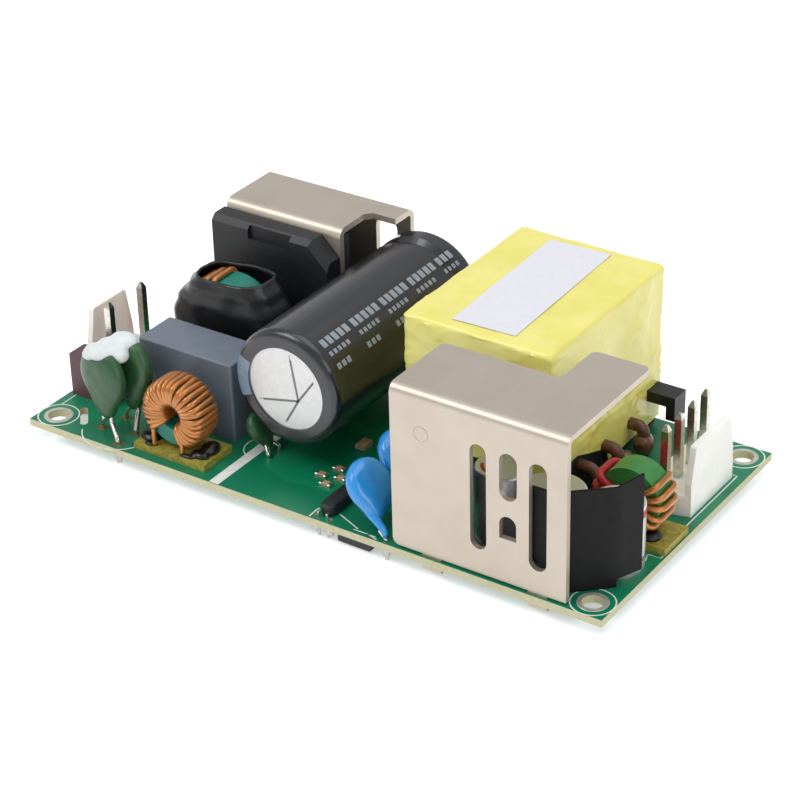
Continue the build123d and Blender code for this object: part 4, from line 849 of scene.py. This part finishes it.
def folded_sheet(name, line, thickness, finish, nodes=()):
    """A folded insulation sheet; each point is x, y, lower rise, upper rise."""
    fine = []
    for a, b in zip(line, line[1:]):
        fine += [[a[k] + (b[k] - a[k]) * i / 6 for k in range(4)] for i in range(6)]
    fine.append(line[-1])
    rows = 8
    corners = []
    for j in range(rows):
        for i, (x, y, low, high) in enumerate(fine):
            share = j / (rows - 1)
            wave = 0.12 * noise.noise(Vector((x * 0.2, y * 0.2, share * 2)))
            corners.append((x + wave, y - wave, TOP + low + (high - low) * share))
    made = add_piece(name, (corners, grid_faces(rows, len(fine), closed=False)), finish, nodes, sharp=25)
    wall = made.modifiers.new("wall", "SOLIDIFY")
    wall.thickness = thickness * MM
    wall.offset = 0
    bake_modifiers(made)
    made.data.set_sharp_from_angle(angle=radians(30))


folded_sheet("barrier_sheet", ((37.6, -23.5, 4.6, 16.4), (42.4, -23.5, 4.4, 16.5), (48.5, -17.6, 1.5, 16.3),
                               (50.2, -13.6, 1.5, 16.9)), 0.4, SHEET, ("insulation_barrier",))
folded_sheet("barrier_flap", ((42.6, -23.0, 0.0, 4.6), (48.4, -17.3, 0.0, 4.4)), 0.4, SHEET)


def flat_line(points, width, rise=0.02):
    """Printed line on the board's top along points in x, y."""
    points = [Vector(point) for point in points]
    closed = (points[0] - points[-1]).length < 1e-6
    corners = []
    for i, point in enumerate(points):
        before = points[i - 1] if i else (points[-2] if closed else point)
        after = points[i + 1] if i < len(points) - 1 else (points[1] if closed else point)
        along = (after - before).normalized()
        side = Vector((-along.y, along.x)) * width / 2
        corners += [(*(point + side), TOP + rise), (*(point - side), TOP + rise),
                    (*(point - side), TOP), (*(point + side), TOP)]
    return corners, grid_faces(len(points), 4)


def arc_line(x, y, radius, start, end, steps=28):
    """Points of an arc on the board."""
    return [(x + radius * cos(radians(start + (end - start) * i / steps)),
             y + radius * sin(radians(start + (end - start) * i / steps))) for i in range(steps + 1)]


def pad_ring(x, y, bore, radius):
    """A tinned ring round a mounting hole, on the board's top."""
    corners = []
    for level, size in ((0.0, radius), (0.05, radius - 0.05), (0.05, bore + 0.02), (0.0, bore + 0.02)):
        corners += [(x + size * cos(2 * pi * i / 48), y + size * sin(2 * pi * i / 48), TOP + level)
                    for i in range(48)]
    return corners, grid_faces(4, 48)


# Pads round the mounting holes
holes = [(sx * 47.625, sy * 22.225) for sx in (-1, 1) for sy in (-1, 1)]
add_piece("mounting_pads", joined(*[pad_ring(x, y, 1.6, 2.3) for x, y in holes]), PAD)
# Print on the board: part outlines, circles and the white stripe between the mains side and the rest
LINE_WIDTH = 0.2
prints = [flat_line(arc_line(x, y, 3.2, 0, 360), LINE_WIDTH) for x, y in holes]
prints += [flat_line(line, LINE_WIDTH) for line in (
    arc_line(-36.6, -20.6, 5.9, -150, 30), arc_line(-14.2, -13.4, 3.4, 120, 260),
    [(48.7, 16.9), (49.4, 16.9), (49.4, 0.9), (46.7, 0.7)],
    [(47.9, -0.5), (50.3, -0.4), (50.3, -8.0), (48.3, -8.1), (48.8, -9.7)],
    [(2.2, -25.2), (2.1, -23.3), (2.2, -22.6)], [(5.7, -22.4), (10.1, -24.2)],
    [(11.8, -24.5), (13.9, -25.1)],
    [(-49.4, -19.6), (-49.4, -8.4)], [(9.6, -24.6), (13.4, -24.6)])]
add_piece("board_print", joined(*prints), PRINT)
add_piece("isolation_stripe", flat_line([(-15.1, -25.3), (-15.1, -17.0), (-15.1, -9.6)], 1.7, 0.025), PRINT)


def small_boxes(places, length, width, height, turned=False):
    """Plain chip bodies with chamfered tops, each at x, y on the board's top."""
    shapes = []
    for x, y in places:
        half = (width / 2, length / 2) if turned else (length / 2, width / 2)
        corners = []
        for level, inset in ((0.0, 0.0), (height - 0.1, 0.0), (height, 0.1)):
            corners += [(x + sx * (half[0] - inset), y + sy * (half[1] - inset), TOP + level)
                        for sx, sy in ((-1, -1), (1, -1), (1, 1), (-1, 1))]
        shapes.append((corners, grid_faces(3, 4) + [[3, 2, 1, 0], [8, 9, 10, 11]]))
    return joined(*shapes)


# Chip parts on the top side, with their soldered ends
CHIP_SPOTS = ((-0.6, -17.0), (-1.3, -12.5), (0.4, -14.6), (-2.6, -15.2))
add_piece("top_chips", small_boxes(CHIP_SPOTS, 1.2, 0.95, 0.55), CERAMIC, sharp=25)
add_piece("top_chip_ends", small_boxes([(x + side * 0.75, y) for x, y in CHIP_SPOTS for side in (-1, 1)],
                                       0.4, 1.05, 0.5), SOLDER, sharp=25)
add_piece("large_top_chip", small_boxes([(-2.1, -5.0)], 2.4, 1.6, 0.8, turned=True), CERAMIC,
          sharp=25)

# Optocoupler: a low black body with rounded ends beside the blue discs; rows are (rise, inset)
OPTO_LENGTH, OPTO_WIDTH = 2.5, 7.0
opto_outline = rounded_outline(OPTO_LENGTH, OPTO_WIDTH, 1.1, 0.6)
opto_columns = len(opto_outline)
opto_rows = ((0.1, 0.12), (0.25, 0.0), (1.55, 0.0), (1.8, 0.2))
opto_corners = [(4.2 + point.x * (1 - 2 * inset / OPTO_LENGTH), -20.4 + point.y * (1 - 2 * inset / OPTO_WIDTH),
                 TOP + level) for level, inset in opto_rows for point in opto_outline]
opto_ends = [list(range(opto_columns))[::-1], [3 * opto_columns + i for i in range(opto_columns)]]
add_piece("optocoupler_body", (opto_corners, grid_faces(4, opto_columns) + opto_ends), EPOXY,
          ("optocoupler",), sharp=30)


def opto_leg_move(x, y, z):
    """Legs as low as the body they leave."""
    return 4.1 + (x - 4.1) * 0.6, y, (TOP + (z - TOP) * 0.4 if z > TOP else z)


reshaped("optocoupler_low_legs", ("optocoupler_legs",), TINNED, opto_leg_move)

# Bulk capacitor: score lines of its vent, pale stripe over the rim, and rows of plain dashes
BULK_AXIS = (-8.0, TOP + 13.5)
BULK_FRONT = -16.0
BULK_RADIUS = 9.35
disc_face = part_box("bulk_capacitor_can")[0].y / MM - BULK_FORWARD
score_half_width, score_relief, score_reach = 0.17, 0.04, 6.4
start = Vector((2.1, -1.5))
scores = []
for angle, length in ((100.0, 6.6), (193.0, 6.6), (54.0, 4.6), (240.0, 4.6)):
    aim = Vector((cos(radians(angle)), sin(radians(angle))))
    side = Vector((-aim.y, aim.x)) * score_half_width
    while (start + aim * length).length > score_reach:
        length -= 0.1
    end = start + aim * length
    corners = [(BULK_AXIS[0] + q.x, disc_face - out, BULK_AXIS[1] + q.y)
               for out in (0.0, score_relief) for q in (start - side, start + side, end + side, end - side)]
    scores.append((corners, [[0, 1, 2, 3], [7, 6, 5, 4]] + [[k, k + 4, (k + 1) % 4 + 4, (k + 1) % 4]
                                                           for k in range(4)]))
add_piece("vent_scores", joined(*scores), SCORE, sharp=30)


def film_patch(start, end, profile, lift=0.03, steps=10):
    """A thin printed patch on the film, from one angle round it to another; profile is (radius, y)."""
    corners = []
    for i in range(steps + 1):
        angle = radians(start + (end - start) * i / steps)
        for out in (lift, -0.05):
            for radius, y in (profile if out > 0 else profile[::-1]):
                rim = (radius + (out if y > BULK_FRONT + 0.2 else 0))
                corners.append((BULK_AXIS[0] + rim * cos(angle), y - (out if y < BULK_FRONT + 1.3 else 0),
                                BULK_AXIS[1] + rim * sin(angle)))
    columns = 2 * len(profile)
    ends = [list(range(columns)), [steps * columns + i for i in range(columns)][::-1]]
    return corners, grid_faces(steps + 1, columns) + ends


RIM_BEND = 1.3
rim_profile = [(6.75, BULK_FRONT)]
rim_profile += [(BULK_RADIUS - RIM_BEND + RIM_BEND * sin(radians(a)),
                 BULK_FRONT + RIM_BEND * (1 - cos(radians(a)))) for a in range(0, 91, 15)]
rim_profile += [(BULK_RADIUS, 17.0)]
add_piece("film_stripe", film_patch(157.0, 203.0, rim_profile), STRIPE, sharp=60)
# Each row of dashes: angle, height in degrees, dash length, groups, their pitch, dashes in a group
dashes = []
for row_angle, height, length, count, pitch, group in (
        (56.5, 8.5, 1.0, 5, 7.6, 5), (45.0, 4.5, 0.65, 5, 7.6, 5), (32.0, 5.5, 0.8, 3, 7.6, 3)):
    for i in range(count):
        for k in range(group):
            y = -13.6 + i * pitch + k * (length + 0.4)
            if y + length > 21.0:
                continue
            dashes.append(film_patch(row_angle - height / 2, row_angle + height / 2,
                                     [(BULK_RADIUS, y), (BULK_RADIUS, y + length)], steps=3))
add_piece("film_dashes", joined(*dashes), INK, sharp=60)

# Output capacitors (x, y, radius, rise): plain red arcs on their tops, and a band on the corner one
CAN_PLACES = ((29.6, -16.4, 4.0, 13.0), (38.5, -17.9, 4.9, 12.8), (45.6, -12.3, 4.0, 10.5))
arcs = []
for x, y, radius, rise in CAN_PLACES:
    corners, faces = flat_line(arc_line(x, y, radius * 0.72, 200, 250, 8), 0.5)
    arcs.append(([(cx, cy, cz + rise) for cx, cy, cz in corners], faces))
add_piece("can_marks", joined(*arcs), RED_INK)
band_x, band_y = CAN_PLACES[2][:2]
band_turns = range(-60, 41, 5)
band = []
for turn in band_turns:
    out = Vector((cos(radians(turn)), sin(radians(turn))))
    band += [(band_x + out.x * r, band_y + out.y * r, TOP + level)
             for r, level in ((3.95, 8.6), (4.03, 8.6), (4.03, 9.7), (3.95, 9.7))]
band_ends = [[0, 1, 2, 3], [len(band) - 1 - k for k in range(4)]]
add_piece("can_red_band", (band, grid_faces(len(band_turns), 4) + band_ends), RED_INK,
          sharp=40)
# Faint ring that the clinched stud leaves on the wall's outer face
stud_ring = [(21.69 + 1.15 * cos(radians(a)), -24.9, TOP + 19.77 + 1.15 * sin(radians(a)))
             for a in range(0, 360, 10)]
add_piece("stud_ring", tube(stud_ring, 0.07, 6, closed=True), NICKEL, sharp=70)
# Resin on the ends of the secondary wires
blob("wire_resin", ((34.3, 1.2, 1.0, 1.5, 1.6, 1.2), (33.6, 4.0, 1.4, 1.3, 1.5, 1.2),
                    (34.5, 7.8, 1.6, 1.5, 1.7, 1.7), (33.9, 11.0, 1.2, 1.2, 1.6, 1.1),
                    (34.6, 15.2, 1.8, 1.6, 1.8, 1.9)), BURNT)
# Flux round the inrush discs' legs
RESIDUE_SPOTS = ((-39.4, -21.5), (-34.3, -24.0), (-38.2, -17.3), (-33.8, -20.2))
add_piece("joint_residue", joined(*[flat_line([(x - 0.9, y), (x, y), (x + 0.9, y)], 1.5, 0.03)
                                    for x, y in RESIDUE_SPOTS]), RESIDUE)

look_camera()
studio()
